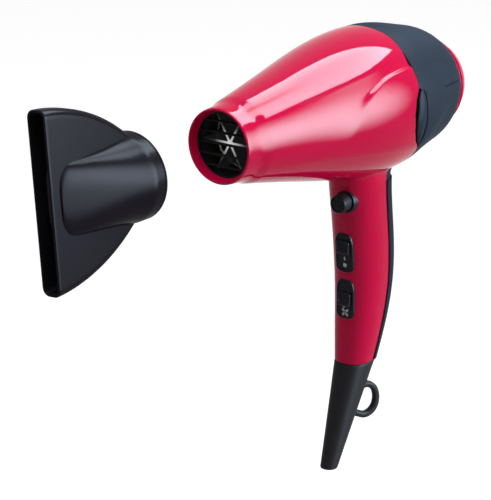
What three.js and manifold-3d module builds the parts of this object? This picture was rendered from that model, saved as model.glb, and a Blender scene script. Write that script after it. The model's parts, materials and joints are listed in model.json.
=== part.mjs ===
// Hair dryer with a cool-shot button, two slide switches, a pull-off intake cover and a push-on nozzle.
// Millimetres. Inside the group `dryer` the barrel lies along X with its mouth at x = 0, the handle hangs
// along -Z, and y = 0 is the parting plane of the two housing halves. The nozzle stands off the mouth.
import * as THREE from 'three'
import { mergeVertices } from 'three/addons/utils/BufferGeometryUtils.js'
import Module from 'manifold-3d'

// ---------------------------------------------------------------- driving dimensions
const CLEARANCE = 0.3 // between pieces that seat on each other
const PARTING_GAP = 0.3 // between the two housing halves
const FAR = 90 // reach of a cutting tool past the body

// Barrel
const BARREL_WALL = 2.2
const NECK_RADIUS = 22.5
const NECK_LENGTH = 16
const NECK_TAPER = 0.115 // radius gained per millimetre of neck
const NECK_STEP_RUN = 1.2
const NECK_STEP_RISE = 1.1
const RIM_ROUND = 0.8
const FLARE_X = 60
const FLARE_RADIUS = 34.2
const SHOULDER_X = 105
const SHOULDER_RADIUS = 43.4
const WAIST_X = 140 // station of the largest radius
const WAIST_RADIUS = 46.9
const HOOD_FORM = [
  // share of the way from the waist to the hood's end, radius
  [0.35, 45.1],
  [0.625, 41.3],
  [0.835, 37.5],
]
const HOOD_END_RADIUS = 30.6
const BODY_LENGTH = 237
const COVER_DEPTH = 25 // from the hood's end to the end face
const COVER_MID_RADIUS = 25.3
const TAIL_FACE_RADIUS = 10
const REAR_DROP = 2 // the barrel's centre line sinks by this much at its rear end
const DROP_START_X = 150
const BARREL_SIDES = 32

// Outlet
const LIP_DEPTH = 5
const LIP_MOUTH_RADIUS = 21.2
const LIP_BACK_RADIUS = 19.6
const GRILLE_THICKNESS = 2.7
const GRILLE_RADIUS = 20.4
const GRILLE_RING = 1.5
const GRILLE_BARS = 5
const GRILLE_BAR_PITCH = 6.7
const GRILLE_BAR_HEIGHT = 0.9

// Hood, side louvers and grip strip
const HOOD_FRONT_X = 140.5
const HOOD_TOP_X = 143 // the hood's front edge along the top
const LOUVER_TOP_Z = 14
const LOUVER_BOTTOM_Z = -25
const LOUVER_X = 144.5
const LOUVER_BULGE = 7
const LOUVER_LEAN = 5
const LOUVER_RISE = 0.9
const INTAKE_SLOT_WIDTH = 3.6
const STRIP_THICKNESS = 1.3
const STRIP_START = 0.2 // front edge, as a share of the handle's half depth behind its centre
const STRIP_TOP_Z = -50

// Handle and cord guard
const HANDLE_WALL = 2.6
const HANDLE_SQUARENESS = 2.4 // exponent of the section's superellipse
const HANDLE_ROOT_Z = -36
const HANDLE_FORM = [
  // z, centre x, half depth, half width
  [-150, 146.3, 17.1, 14.4],
  [-124, 149.3, 19.7, 16],
  [-98, 148.6, 20.8, 16.6],
  [-72, 145.5, 20.8, 16.8],
  [-52, 143, 21.2, 17.2],
  [HANDLE_ROOT_Z, 143.5, 27, 23],
]
const HANDLE_END_Z = -173.5
const HANDLE_NECK_Z = -56 // below here the handle no longer flares into the barrel
const GUARD_SEAT_HEIGHT = 21.5
const HANDLE_END_CENTRE_X = 141.8
const HANDLE_END_HALF_DEPTH = 13.6
const HANDLE_END_HALF_WIDTH = 12
const HANDLE_SIDES = 20
const CAVITY_SIDES = 24 // of the barrel's inside and of the pieces that fit it
const ROUND_SIDES = 20 // of small turned parts
const GUARD_END_Z = -242
const GUARD_END_CENTRE_X = 114.2
const GUARD_END_RADIUS = 5.7
const GUARD_SPIGOT = 8
const GUARD_SPIGOT_WALL = 1.6
const CORD_BORE_RADIUS = 3.7
const LOOP_TOP_Z = -191.4
const LOOP_BOTTOM_Z = -211.9
const LOOP_REACH = 23.9 // from the guard's centre line to the loop's centre line
const LOOP_FORM = [
  // share of the reach, share of the way from the loop's top to its bottom
  [0.53, 0.02],
  [0.69, 0],
  [0.9, 0.14],
  [1, 0.47],
  [0.93, 0.85],
  [0.69, 1.04],
  [0.46, 0.98],
  [0.23, 0.86],
]
const LOOP_TURN = 25 // degrees that the loop is turned off the parting plane
const LOOP_WIRE_RADIUS = 2.6

// Slide switches
const BEZEL_LENGTH = 26.5
const BEZEL_WIDTH = 13.5
const BEZEL_PROUD = 0.9
const BEZEL_SUNK = 0.5
const BEZEL_NECK_LENGTH = 23.4
const BEZEL_NECK_WIDTH = 10.4
const BEZEL_NECK_DEPTH = 3.6
const BEZEL_RIM = 1.2
const BEZEL_FLOOR_TOP = 0.1
const BEZEL_FLOOR = 1.5
const HEAT_SWITCH_Z = -97.5
const SPEED_SWITCH_Z = -129.3
const SLIDER_LENGTH = 9.4
const SLIDER_WIDTH = 9.6
const SLIDER_STEP = 4 // between two switch positions
const SLIDER_NOSE = 3.2
const SLIDER_RAIL = 1.1
const STEM_WIDTH = 1.8
const STEM_LENGTH = 4
const STEM_ENTRY = 1 // how far the stem reaches into the switch body
const SWITCH_BODY = { depth: 10, width: 9.4, length: 21 }

// Cool-shot button
const COOL_Z = -61.5
const COOL_Y = -3.5
const COOL_RADIUS = 5.95
const COOL_PROUD = 9
const COOL_TRAVEL = 3
const COOL_SLEEVE_WALL = 0.9
const COOL_SLEEVE_DEPTH = 8
const COOL_SLEEVE_PROUD = 1
const COOL_STEM_RADIUS = 1.6
const SPRING_TURNS = 4
const SPRING_RADIUS = 3.5
const SPRING_WIRE_RADIUS = 0.45
const MICROSWITCH = { depth: 6.5, width: 6, length: 13 }
const MICROSWITCH_FOOT = 2

// Fan and motor
const FAN_X = 162
const FAN_DEPTH = 17
const FAN_RADIUS = 33.6
const FAN_RUNNING_GAP = 0.8
const FAN_HUB_RADIUS = 15
const FAN_BLADES = 7
const FAN_BLADE_PITCH = 38 // degrees at the hub
const FAN_BLADE_TWIST = 20 // degrees that the pitch eases off towards the tip
const FAN_BLADE_THICKNESS = 1.5
const FAN_BLADE_CAMBER = 0.8
const DUCT_WALL = 1.6
const DUCT_FRONT_X = 92
const DUCT_FRONT_RADIUS = 27.4
const DUCT_FLANGE_X = 122
const DUCT_FLANGE = 2
const STATOR_VANES = 7
const STATOR_VANE_THICKNESS = 1.4
const STATOR_VANE_LENGTH = 20
const MOTOR_X = 116
const MOTOR_LENGTH = 34
const MOTOR_RADIUS = 15.3
const MOTOR_CAN_WALL = 1.2
const POD_WALL = 1.4
const SHAFT_RADIUS = 1.15
const BUSH_RADIUS = 3
const BUSH_LENGTH = 4
const MAGNET_THICKNESS = 1.5
const MAGNET_ARC = 120 // degrees
const ARMATURE_LENGTH = 16
const ARMATURE_GAP = 0.9
const ARMATURE_SLOTS = 5
const COMMUTATOR_RADIUS = 3.6
const COMMUTATOR_LENGTH = 5
const BRUSH_SIZE = 2.4

// Heater
const SHIELD_WALL = 0.9
const SHIELD_LENGTH = 88
const SHIELD_AIR_GAP = 1.2 // to the duct that surrounds its back end
const MICA_START_X = 11
const MICA_LENGTH = 73
const MICA_WINGS = 6
const MICA_THICKNESS = 1.2
const MICA_CORE_RADIUS = 2
const COIL_TURNS = 6
const COIL_PITCH = 9
const COIL_START_X = 20
const COIL_WIRE_RADIUS = 0.7
const COIL_INSET = 1.6 // from the edge of the mica down to the wire's centre
const CUTOUT_RADIUS = 5
const CUTOUT_THICKNESS = 3.4
const FUSE_SETBACK = 20 // behind the front of the mica frame
const FUSE_RADIUS = 1.3
const FUSE_LENGTH = 9

// Intake cover
const COVER_WALL = 2
const COVER_SLOTS = 12
const COVER_SLOT_WIDTH = 2.6
const COVER_SLOT_STARTS = [9, 17] // distance from the axis where long and short slots begin
const COVER_SLOT_END = 26
const COVER_RIM = 6 // of unbroken wall in front of the slots
const COVER_SPIGOT = 6
const COVER_SPIGOT_WALL = 1.4
const SCREEN_THICKNESS = 1.2

// Housing screws: places in x and z
const SCREW_PLACES = [
  [104, 36],
  [104, -36],
  [157, -66],
  [146, -157],
]
const SCREW_BOSS_RADIUS = 4.4
const SCREW_HEAD_RADIUS = 2.7
const SCREW_HEAD_HEIGHT = 1.8
const SCREW_HEAD_Y = 8
const SCREW_RECESS = 1.8 // reach of the cross recess from the screw's axis
const SCREW_RECESS_HALF_WIDTH = 0.4
const SCREW_SHANK_RADIUS = 1.2
const SCREW_BITE = 8

// Nozzle
const NOZZLE_GAP = 73.5 // from the mouth to the collar, with the nozzle off
const NOZZLE_LENGTH = 70
const NOZZLE_WALL = 1.3
const NOZZLE_ROLL = -4.3 // degrees
const NOZZLE_ENGAGEMENT = 8
const COLLAR_LENGTH = 9
const SLOT_HALF_LENGTH = 50
const SLOT_HALF_THICKNESS = 6.4
const SLOT_CORNER = 4.5
const THROAT_HALF_LENGTH = 21
const THROAT_STEP = 1 // that the throat's end stands above the flat plate
const THROAT_SETBACK = 7 // from the slot to the throat's end
const PLATE_BACK = 8 // from the collar's end to the back edge of the flat plate
const PLATE_BACK_HALF = 26.5 // half height of the plate at its back edge
const PLATE_BACK_PULL = [22.5, 18.6] // handles of the curve from the back edge to the slot
const PLATE_FRONT_PULL = 12.6

// ---------------------------------------------------------------- finishes
const finish = (color, roughness, metalness = 0) => ({ color, roughness, metalness })
const RED_GLOSS = finish(0xd4083c, 0.16)
const SOFT_GREY = finish(0x3a4853, 0.55)
const BLACK_SATIN = finish(0x202227, 0.42)
const BLACK_MATT = finish(0x18191c, 0.6)
const MICA_SILVER = finish(0xc9c4b8, 0.35, 0.3)
const NICHROME = finish(0x8d8a86, 0.35, 1)
const STEEL = finish(0xb5b8bc, 0.3, 1)
const COPPER = finish(0xb46a3c, 0.35, 1)
const GRAPHITE = finish(0x2a2a2c, 0.7)
const FERRITE = finish(0x3a3b3d, 0.8)
const NYLON_WHITE = finish(0xd9d8d2, 0.5)

// ---------------------------------------------------------------- solids
const wasm = await Module()
wasm.setup()

const degrees = THREE.MathUtils.degToRad
const V = (x, y, z) => new THREE.Vector3(x, y, z)

/** Manifold solid of a closed three.js geometry, with its faces turned outwards. */
function solid(geometry) {
  const bare = geometry.clone()
  bare.deleteAttribute('normal')
  bare.deleteAttribute('uv')
  const merged = mergeVertices(bare, 1e-4)
  const p = merged.attributes.position
  const triangles = []
  let volume = 0
  const corner = [V(), V(), V()]
  for (let i = 0; i < merged.index.count; i += 3) {
    const [a, b, c] = [0, 1, 2].map((k) => merged.index.getX(i + k))
    if (a === b || b === c || c === a) continue
    triangles.push(a, b, c)
    corner.forEach((v, k) => v.fromBufferAttribute(p, [a, b, c][k]))
    volume += corner[0].dot(corner[1].clone().cross(corner[2]))
  }
  if (volume < 0) {
    for (let i = 0; i < triangles.length; i += 3) {
      triangles.splice(i + 1, 2, triangles[i + 2], triangles[i + 1])
    }
  }
  return new wasm.Manifold(
    new wasm.Mesh({ numProp: 3, vertProperties: p.array, triVerts: new Uint32Array(triangles) })
  )
}

const placed = (body, matrix) => body.transform(matrix.elements)
const union = (bodies) => bodies.reduce((sum, body) => sum.add(body))

/** Closed skin over a list of rings, each with the same number of points. */
function loft(rings) {
  const count = rings[0].length
  const points = rings.flat()
  const index = []
  for (let r = 0; r < rings.length - 1; r++) {
    for (let i = 0; i < count; i++) {
      const a = r * count + i
      const b = r * count + ((i + 1) % count)
      index.push(a, b, a + count, b, b + count, a + count)
    }
  }
  for (const [r, flip] of [[0, true], [rings.length - 1, false]]) {
    const middle = points.length
    points.push(rings[r].reduce((sum, p) => sum.add(p), V(0, 0, 0)).divideScalar(count))
    for (let i = 0; i < count; i++) {
      const a = r * count + i
      const b = r * count + ((i + 1) % count)
      index.push(...(flip ? [middle, b, a] : [middle, a, b]))
    }
  }
  const geometry = new THREE.BufferGeometry().setFromPoints(points)
  geometry.setIndex(index)
  return solid(geometry)
}

/** Prism of a shape along X (of y, z points), Y (of x, z points) or Z (of x, y points). */
function prism(shape, axis, from, to, curveSegments = 8) {
  const depth = to - from
  const geometry = new THREE.ExtrudeGeometry(shape, { depth, bevelEnabled: false, curveSegments })
  const basis = new THREE.Matrix4()
  if (axis === 'X') basis.makeBasis(V(0, 1, 0), V(0, 0, 1), V(1, 0, 0)).setPosition(from, 0, 0)
  if (axis === 'Y') basis.makeBasis(V(1, 0, 0), V(0, 0, 1), V(0, -1, 0)).setPosition(0, to, 0)
  if (axis === 'Z') basis.setPosition(0, 0, from)
  return solid(geometry.applyMatrix4(basis))
}

const outline = (points) => new THREE.Shape(points.map(([x, y]) => new THREE.Vector2(x, y)))

/** Body of revolution about X from a closed profile of [x, radius] points. */
function turned(profile, sides = ROUND_SIDES) {
  const points = [...profile, profile[0]].map(([x, r]) => new THREE.Vector2(r, x))
  return solid(new THREE.LatheGeometry(points, sides).rotateZ(-Math.PI / 2))
}

const disc = (x0, x1, radius, sides = ROUND_SIDES) =>
  turned([[x0, 0], [x0, radius], [x1, radius], [x1, 0]], sides)
const tube = (x0, x1, inner, outer, sides = ROUND_SIDES) =>
  turned([[x0, inner], [x0, outer], [x1, outer], [x1, inner]], sides)

/** Box from its two opposite corners. */
function block(low, high) {
  const size = high.map((h, k) => h - low[k])
  const middle = high.map((h, k) => (h + low[k]) / 2)
  return solid(new THREE.BoxGeometry(...size).translate(...middle))
}

/** Long outline along its second coordinate: its upper end narrows, its lower end is a blunt round. */
function bezelShape(width, length) {
  const [w, l] = [width / 2, length / 2]
  const shape = new THREE.Shape()
  shape.moveTo(0.45 * w, l)
  shape.quadraticCurveTo(-0.45 * w, l + 0.4, -0.45 * w, l)
  shape.bezierCurveTo(-0.8 * w, l, -w, l - 0.6 * w, -w, l - 1.2 * w)
  shape.lineTo(-w, 0.7 * w - l)
  shape.bezierCurveTo(-w, -l + 0.2 * w, -0.7 * w, -l, 0, -l)
  shape.bezierCurveTo(0.7 * w, -l, w, -l + 0.2 * w, w, 0.7 * w - l)
  shape.lineTo(w, l - 1.2 * w)
  shape.bezierCurveTo(w, l - 0.6 * w, 0.8 * w, l, 0.45 * w, l)
  return shape
}

/** Wire of a round section along a curve. */
function wire(curve, radius, steps, sides) {
  const section = new THREE.Shape()
  section.absarc(0, 0, radius, 0, 2 * Math.PI, false)
  const options = { steps, extrudePath: curve, curveSegments: sides, bevelEnabled: false }
  return solid(new THREE.ExtrudeGeometry(section, options))
}

/** Helix about X whose radius may change along it. */
class Helix extends THREE.Curve {
  constructor(start, pitch, turns, radiusAt) {
    super()
    Object.assign(this, { start, pitch, turns, radiusAt })
  }
  getPoint(t) {
    const x = this.start + this.pitch * this.turns * t
    const angle = 2 * Math.PI * this.turns * t
    return V(x, this.radiusAt(x) * Math.sin(angle), this.radiusAt(x) * Math.cos(angle))
  }
  /** Steps of equal angle, so that the corners of a coil fall on the spokes that carry it. */
  getUtoTmapping(u) {
    return u
  }
}

/** Smooth curve through [position, value] points that never overshoots them. */
function smoothCurve(points) {
  const slope = points.slice(1).map((p, i) => (p[1] - points[i][1]) / (p[0] - points[i][0]))
  const tangent = points.map((_, i) => {
    const [before, after] = [slope[Math.max(i - 1, 0)], slope[Math.min(i, slope.length - 1)]]
    return before * after <= 0 ? 0 : (2 * before * after) / (before + after)
  })
  return (at) => {
    let i = points.findIndex((p) => p[0] > at) - 1
    if (i === -2) i = points.length - 2
    i = Math.max(i, 0)
    const [[x0, y0], [x1, y1]] = [points[i], points[i + 1]]
    const h = x1 - x0
    const t = THREE.MathUtils.clamp((at - x0) / h, 0, 1)
    return (
      y0 * (1 + 2 * t) * (1 - t) ** 2 +
      h * tangent[i] * t * (1 - t) ** 2 +
      y1 * t * t * (3 - 2 * t) +
      h * tangent[i + 1] * t * t * (t - 1)
    )
  }
}

// ---------------------------------------------------------------- the assembly
const hairDryer = new THREE.Group()
const dryer = new THREE.Group()
dryer.position.set((NOZZLE_GAP + NOZZLE_LENGTH - BODY_LENGTH) / 2, 0, -GUARD_END_Z)
hairDryer.add(dryer)

function add(name, body, look) {
  const mesh = body.getMesh()
  const geometry = new THREE.BufferGeometry()
  geometry.setAttribute('position', new THREE.BufferAttribute(mesh.vertProperties, 3))
  geometry.setIndex(new THREE.BufferAttribute(mesh.triVerts, 1))
  geometry.computeVertexNormals()
  const piece = new THREE.Mesh(geometry, new THREE.MeshStandardMaterial(look))
  piece.name = name
  dryer.add(piece)
}

// ---------------------------------------------------------------- outer form
const neckRadius = (x) => NECK_RADIUS + NECK_TAPER * x
const neckEndX = NECK_LENGTH + NECK_STEP_RUN
const hoodEndX = BODY_LENGTH - COVER_DEPTH
const barrelCurve = smoothCurve([
  [neckEndX, neckRadius(NECK_LENGTH) + NECK_STEP_RISE],
  [FLARE_X, FLARE_RADIUS],
  [SHOULDER_X, SHOULDER_RADIUS],
  [WAIST_X, WAIST_RADIUS],
  ...HOOD_FORM.map(([share, radius]) => [THREE.MathUtils.lerp(WAIST_X, hoodEndX, share), radius]),
  [hoodEndX, HOOD_END_RADIUS],
])
const coverCurve = smoothCurve([
  [hoodEndX, HOOD_END_RADIUS],
  [hoodEndX + COVER_DEPTH / 2, COVER_MID_RADIUS],
  [BODY_LENGTH, TAIL_FACE_RADIUS],
])
function barrelRadius(x) {
  if (x <= NECK_LENGTH) return neckRadius(x)
  return x <= hoodEndX ? barrelCurve(x) : coverCurve(x)
}
const barrelDrop = (x) => REAR_DROP * THREE.MathUtils.smoothstep(x, DROP_START_X, BODY_LENGTH)

/** Ring of the barrel at station x, moved inwards by `inset`. */
function barrelRing(x, inset = 0, sides = BARREL_SIDES, radius = barrelRadius(x)) {
  return Array.from({ length: sides }, (_, i) => {
    const angle = (2 * Math.PI * i) / sides
    return V(x, (radius - inset) * Math.sin(angle), (radius - inset) * Math.cos(angle) - barrelDrop(x))
  })
}

/** Evenly spaced stations from one place to another, both ends included. */
const spaced = (from, to, spans) =>
  Array.from({ length: spans + 1 }, (_, i) => THREE.MathUtils.lerp(from, to, i / spans))
const barrelStations = [...spaced(neckEndX, DUCT_FLANGE_X, 5), ...spaced(WAIST_X, hoodEndX, 6)]
const cavityStations = [...spaced(neckEndX, DUCT_FLANGE_X, 3), ...spaced(WAIST_X, hoodEndX, 4)]
const coverStations = spaced(hoodEndX + CLEARANCE, BODY_LENGTH, 6)

const handleCurve = (column) => smoothCurve([
  [HANDLE_END_Z, [HANDLE_END_CENTRE_X, HANDLE_END_HALF_DEPTH, HANDLE_END_HALF_WIDTH][column]],
  ...HANDLE_FORM.map(([z, ...sizes]) => [z, sizes[column]]),
])
const [handleCentre, handleHalfDepth, handleHalfWidth] = [0, 1, 2].map(handleCurve)

/** Superellipse ring in a level plane. */
function levelRing(z, centreX, halfDepth, halfWidth, squareness) {
  return Array.from({ length: HANDLE_SIDES }, (_, i) => {
    const angle = (2 * Math.PI * i) / HANDLE_SIDES
    const [c, s] = [Math.cos(angle), Math.sin(angle)]
    const scale = (Math.abs(c) ** squareness + Math.abs(s) ** squareness) ** (-1 / squareness)
    return V(centreX + halfDepth * scale * c, halfWidth * scale * s, z)
  })
}

const handleRing = (z, inset = 0, atZ = z) =>
  levelRing(atZ, handleCentre(z), handleHalfDepth(z) - inset, handleHalfWidth(z) - inset, HANDLE_SQUARENESS)
const guardSeatZ = HANDLE_END_Z + GUARD_SEAT_HEIGHT // from here down the handle tapers straight
const handleStations = [
  ...spaced(HANDLE_ROOT_Z, HANDLE_NECK_Z, 2),
  ...spaced(HANDLE_NECK_Z, guardSeatZ, 5).slice(1),
  HANDLE_END_Z,
]
const handleLoft = (inset, stations = handleStations) => loft(stations.map((z) => handleRing(z, inset)))

const barrelOuter = loft([
  barrelRing(0, RIM_ROUND),
  barrelRing(RIM_ROUND),
  barrelRing(NECK_LENGTH),
  ...barrelStations.map((x) => barrelRing(x)),
])
const grillePocketEnd = LIP_DEPTH + GRILLE_THICKNESS + 2 * CLEARANCE
const pocketRadius = GRILLE_RADIUS + CLEARANCE
const cavityRing = (x, inset = BARREL_WALL, radius = barrelRadius(x)) =>
  barrelRing(x, inset, CAVITY_SIDES, radius)
const barrelCavity = loft([
  cavityRing(-1, 0, LIP_MOUTH_RADIUS),
  cavityRing(LIP_DEPTH, 0, LIP_BACK_RADIUS),
  cavityRing(LIP_DEPTH, 0, pocketRadius),
  cavityRing(grillePocketEnd, 0, pocketRadius),
  cavityRing(grillePocketEnd),
  ...cavityStations.map((x) => cavityRing(x)),
  cavityRing(hoodEndX).map((p) => p.setX(hoodEndX + 1)),
])
const handleOuter = handleLoft(0)
const handleCavityStations = [HANDLE_ROOT_Z, ...spaced(HANDLE_NECK_Z, guardSeatZ, 3), HANDLE_END_Z]
const handleCavity = handleLoft(HANDLE_WALL, handleCavityStations).add(
  loft([handleRing(HANDLE_END_Z, HANDLE_WALL), handleRing(HANDLE_END_Z, HANDLE_WALL, HANDLE_END_Z - 1)])
)
const bodyOuter = barrelOuter.add(handleOuter)

// ---------------------------------------------------------------- regions that divide the skin
const stripEdgeX = (z) => handleCentre(z) + STRIP_START * handleHalfDepth(z)

/** Everything behind the hood's front edge, which is a wave seen from the side. */
function hoodRegion(grow) {
  const foot = STRIP_TOP_Z + CLEARANCE - grow
  const wave = new THREE.SplineCurve(
    [
      [HOOD_TOP_X, FAR],
      [HOOD_TOP_X, 42],
      [HOOD_FRONT_X, 20],
      [HOOD_FRONT_X, 2],
      [143, -18],
      [150, -33],
      [stripEdgeX(STRIP_TOP_Z) + 2, -43],
      [stripEdgeX(STRIP_TOP_Z), STRIP_TOP_Z],
    ].map(([x, z]) => new THREE.Vector2(x - grow, z))
  )
  const side = outline([
    ...wave.getPoints(14).slice(0, -1).map((p) => [p.x, p.y]),
    [stripEdgeX(STRIP_TOP_Z) - grow, foot],
    [BODY_LENGTH + 10, foot],
    [BODY_LENGTH + 10, FAR],
  ])
  return prism(side, 'Y', -FAR, FAR)
}

/** Leaf of the side louver seen from the side, grown by `grow`; `forward` pushes its front edge ahead. */
function leafShape(grow, forward = 0) {
  const top = new THREE.Vector2(LOUVER_X, LOUVER_TOP_Z + grow)
  const bottom = new THREE.Vector2(LOUVER_X + LOUVER_LEAN, LOUVER_BOTTOM_Z - grow)
  const middle = top.clone().add(bottom).multiplyScalar(0.5)
  const shape = new THREE.Shape()
  shape.moveTo(top.x, top.y)
  shape.quadraticCurveTo(middle.x + 2 * (LOUVER_BULGE + grow), middle.y, bottom.x, bottom.y)
  shape.quadraticCurveTo(middle.x - 2 * (LOUVER_BULGE + grow + forward), middle.y, top.x, top.y)
  return shape
}
const sideSpan = { left: [-FAR, -20], right: [20, FAR] }
const leaf = (side, grow, forward) => prism(leafShape(grow, forward), 'Y', ...sideSpan[side], 5)
const bothLeaves = (grow, forward) => leaf('left', grow, forward).add(leaf('right', grow, forward))

/** Everything behind the grip strip's front edge, below the hood. */
function stripRegion(grow) {
  const levels = [STRIP_TOP_Z + grow, ...handleStations.filter((z) => z < STRIP_TOP_Z)]
  const edge = levels.map((z) => [stripEdgeX(z) - grow, z])
  const behind = [[BODY_LENGTH, HANDLE_END_Z], [BODY_LENGTH, STRIP_TOP_Z + grow]]
  return prism(outline([...edge, ...behind]), 'Y', -FAR, FAR)
}

// ---------------------------------------------------------------- places on the handle's front
/** Frame on the front line: local X runs into the handle, local Z up along its front. */
function frontFrame(z) {
  const frontX = (at) => handleCentre(at) - handleHalfDepth(at)
  const lean = (frontX(z + BEZEL_LENGTH / 2) - frontX(z - BEZEL_LENGTH / 2)) / BEZEL_LENGTH
  const up = V(lean, 0, 1).normalize()
  const inward = V(1, 0, -lean).normalize()
  return new THREE.Matrix4().makeBasis(inward, V(0, 1, 0), up).setPosition(frontX(z), 0, z)
}
const frames = { heat: frontFrame(HEAT_SWITCH_Z), speed: frontFrame(SPEED_SWITCH_Z) }
const coolSurfaceX = handleCentre(COOL_Z) - handleHalfDepth(COOL_Z)
const coolFrame = new THREE.Matrix4().setPosition(coolSurfaceX, COOL_Y, COOL_Z)
const coolBore = COOL_RADIUS + CLEARANCE
const coolSleeveRadius = coolBore + COOL_SLEEVE_WALL

/** Opening in the housing for one switch bezel, in the bezel's own frame. */
function bezelOpening() {
  const grown = (width, length) => bezelShape(width + 2 * CLEARANCE, length + 2 * CLEARANCE)
  const pocket = prism(grown(BEZEL_WIDTH, BEZEL_LENGTH), 'X', -HANDLE_WALL * 2, BEZEL_SUNK + CLEARANCE, 3)
  const depth = HANDLE_WALL + BEZEL_NECK_DEPTH
  return pocket.add(prism(grown(BEZEL_NECK_WIDTH, BEZEL_NECK_LENGTH), 'X', -HANDLE_WALL * 2, depth, 3))
}

// ---------------------------------------------------------------- housing halves
/** Cylinder along Y at a screw's place. */
const alongY = ([x, z], radius, from, to, sides = 10) =>
  solid(new THREE.CylinderGeometry(radius, radius, to - from, sides).translate(x, (from + to) / 2, z))

const wallShell = bodyOuter.subtract(barrelCavity.add(handleCavity))

function housing() {
  const stripSeat = stripRegion(CLEARANCE).subtract(handleLoft(STRIP_THICKNESS + CLEARANCE))
  const bossReach = loft(barrelStations.slice(2, 8).map((x) => barrelRing(x, BARREL_WALL / 2)))
    .add(handleLoft(STRIP_THICKNESS + CLEARANCE))
  const bosses = union(SCREW_PLACES.map((place) => alongY(place, SCREW_BOSS_RADIUS, -FAR, FAR)))
  return wallShell
    .subtract(hoodRegion(CLEARANCE))
    .add(bosses.intersect(bossReach))
    .subtract(stripSeat)
    .subtract(bothLeaves(CLEARANCE, INTAKE_SLOT_WIDTH / 2))
    .subtract(placed(bezelOpening(), frames.heat))
    .subtract(placed(bezelOpening(), frames.speed))
    .subtract(placed(disc(-FAR / 4, COOL_SLEEVE_DEPTH + 4, coolSleeveRadius + CLEARANCE), coolFrame))
}

const boreAll = (radius, from) => union(SCREW_PLACES.map((place) => alongY(place, radius, from, FAR)))
const screwHoles = boreAll(SCREW_SHANK_RADIUS + CLEARANCE, -SCREW_BITE - 2)
const counterbores = boreAll(SCREW_HEAD_RADIUS + CLEARANCE, SCREW_HEAD_Y)
const skin = housing().subtract(screwHoles)
/** Block that takes away all of the shell between two values of y. */
const slab = (fromY, toY) => block([-FAR, fromY, GUARD_END_Z], [BODY_LENGTH, toY, FAR])
add('left_housing', skin.subtract(slab(-PARTING_GAP / 2, FAR)), RED_GLOSS)
add('right_housing', skin.subtract(counterbores).subtract(slab(-FAR, PARTING_GAP / 2)), RED_GLOSS)

/** Pan-head screw along Y with a cross recess, its thread left plain. */
function screw([x, z]) {
  const headUnderside = SCREW_HEAD_Y + CLEARANCE
  const headTop = headUnderside + SCREW_HEAD_HEIGHT
  const recess = headTop - SCREW_HEAD_HEIGHT / 2
  const arm = (reachX, reachZ) =>
    block([x - reachX, recess, z - reachZ], [x + reachX, headTop + 1, z + reachZ])
  return alongY([x, z], SCREW_HEAD_RADIUS, headUnderside, headTop)
    .subtract(arm(SCREW_RECESS, SCREW_RECESS_HALF_WIDTH))
    .subtract(arm(SCREW_RECESS_HALF_WIDTH, SCREW_RECESS))
    .add(alongY([x, z], SCREW_SHANK_RADIUS, -SCREW_BITE, headUnderside + 0.5, 12))
}
SCREW_PLACES.forEach((place, i) => add(`housing_screw_${i + 1}`, screw(place), STEEL))

// ---------------------------------------------------------------- hood, louvers, grip strip
add('rear_hood', wallShell.intersect(hoodRegion(0)).subtract(bothLeaves(CLEARANCE)), SOFT_GREY)

const louverStations = [124, 132, WAIST_X, 148, 156, 164]
const louverShell = loft(louverStations.map((x) => barrelRing(x, -LOUVER_RISE)))
  .subtract(loft([118, ...louverStations, 170].map((x) => cavityRing(x))))
for (const side of ['left', 'right']) add(`${side}_louver`, louverShell.intersect(leaf(side, 0)), SOFT_GREY)

add('grip_strip', handleOuter.subtract(handleLoft(STRIP_THICKNESS)).intersect(stripRegion(0))
  .subtract(block([0, -FAR, HANDLE_END_Z - 9], [FAR * 3, FAR, HANDLE_END_Z])), SOFT_GREY)

// ---------------------------------------------------------------- intake cover
const spigotStart = hoodEndX - COVER_SPIGOT
function intakeCover() {
  const dome = loft(coverStations.map((x) => barrelRing(x)))
  const inside = [hoodEndX, ...coverStations.slice(1, -1), BODY_LENGTH - COVER_WALL]
  const hollow = loft(inside.map((x) => cavityRing(x, COVER_WALL)))
  const spigotOuter = HOOD_END_RADIUS - BARREL_WALL - CLEARANCE
  const drop = barrelDrop(hoodEndX)
  const spigotInner = spigotOuter - COVER_SPIGOT_WALL
  const spigot = tube(spigotStart, hoodEndX + COVER_WALL * 2, spigotInner, spigotOuter, CAVITY_SIDES)
    .translate([0, 0, -drop])
  const half = COVER_SLOT_WIDTH / 2
  const slots = Array.from({ length: COVER_SLOTS }, (_, i) => {
    const inner = COVER_SLOT_STARTS[i % 2]
    return block([hoodEndX + COVER_RIM, -half, inner], [BODY_LENGTH + 2, half, COVER_SLOT_END])
      .rotate([(360 * i) / COVER_SLOTS, 0, 0])
      .translate([0, 0, -REAR_DROP])
  })
  return dome.subtract(hollow).add(spigot).subtract(union(slots))
}
add('intake_cover', intakeCover(), RED_GLOSS)
const screenRadius = HOOD_END_RADIUS - BARREL_WALL - COVER_SPIGOT_WALL - 2 * CLEARANCE
const screen = disc(spigotStart + 1, spigotStart + 1 + SCREEN_THICKNESS, screenRadius, CAVITY_SIDES)
add('filter_screen', screen.translate([0, 0, -barrelDrop(hoodEndX)]), NICHROME)

// ---------------------------------------------------------------- outlet grille
function outletGrille() {
  const x0 = LIP_DEPTH + CLEARANCE
  const x1 = x0 + GRILLE_THICKNESS
  const inner = GRILLE_RADIUS - GRILLE_RING
  const bars = Array.from({ length: GRILLE_BARS }, (_, i) => {
    const z = (i - (GRILLE_BARS - 1) / 2) * GRILLE_BAR_PITCH
    const reach = Math.sqrt((inner + GRILLE_RING / 2) ** 2 - z * z)
    return block([x0, -reach, z - GRILLE_BAR_HEIGHT / 2], [x1, reach, z + GRILLE_BAR_HEIGHT / 2])
  })
  return tube(x0, x1, inner, GRILLE_RADIUS, CAVITY_SIDES).add(union(bars))
}
add('outlet_grille', outletGrille(), BLACK_MATT)

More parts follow.
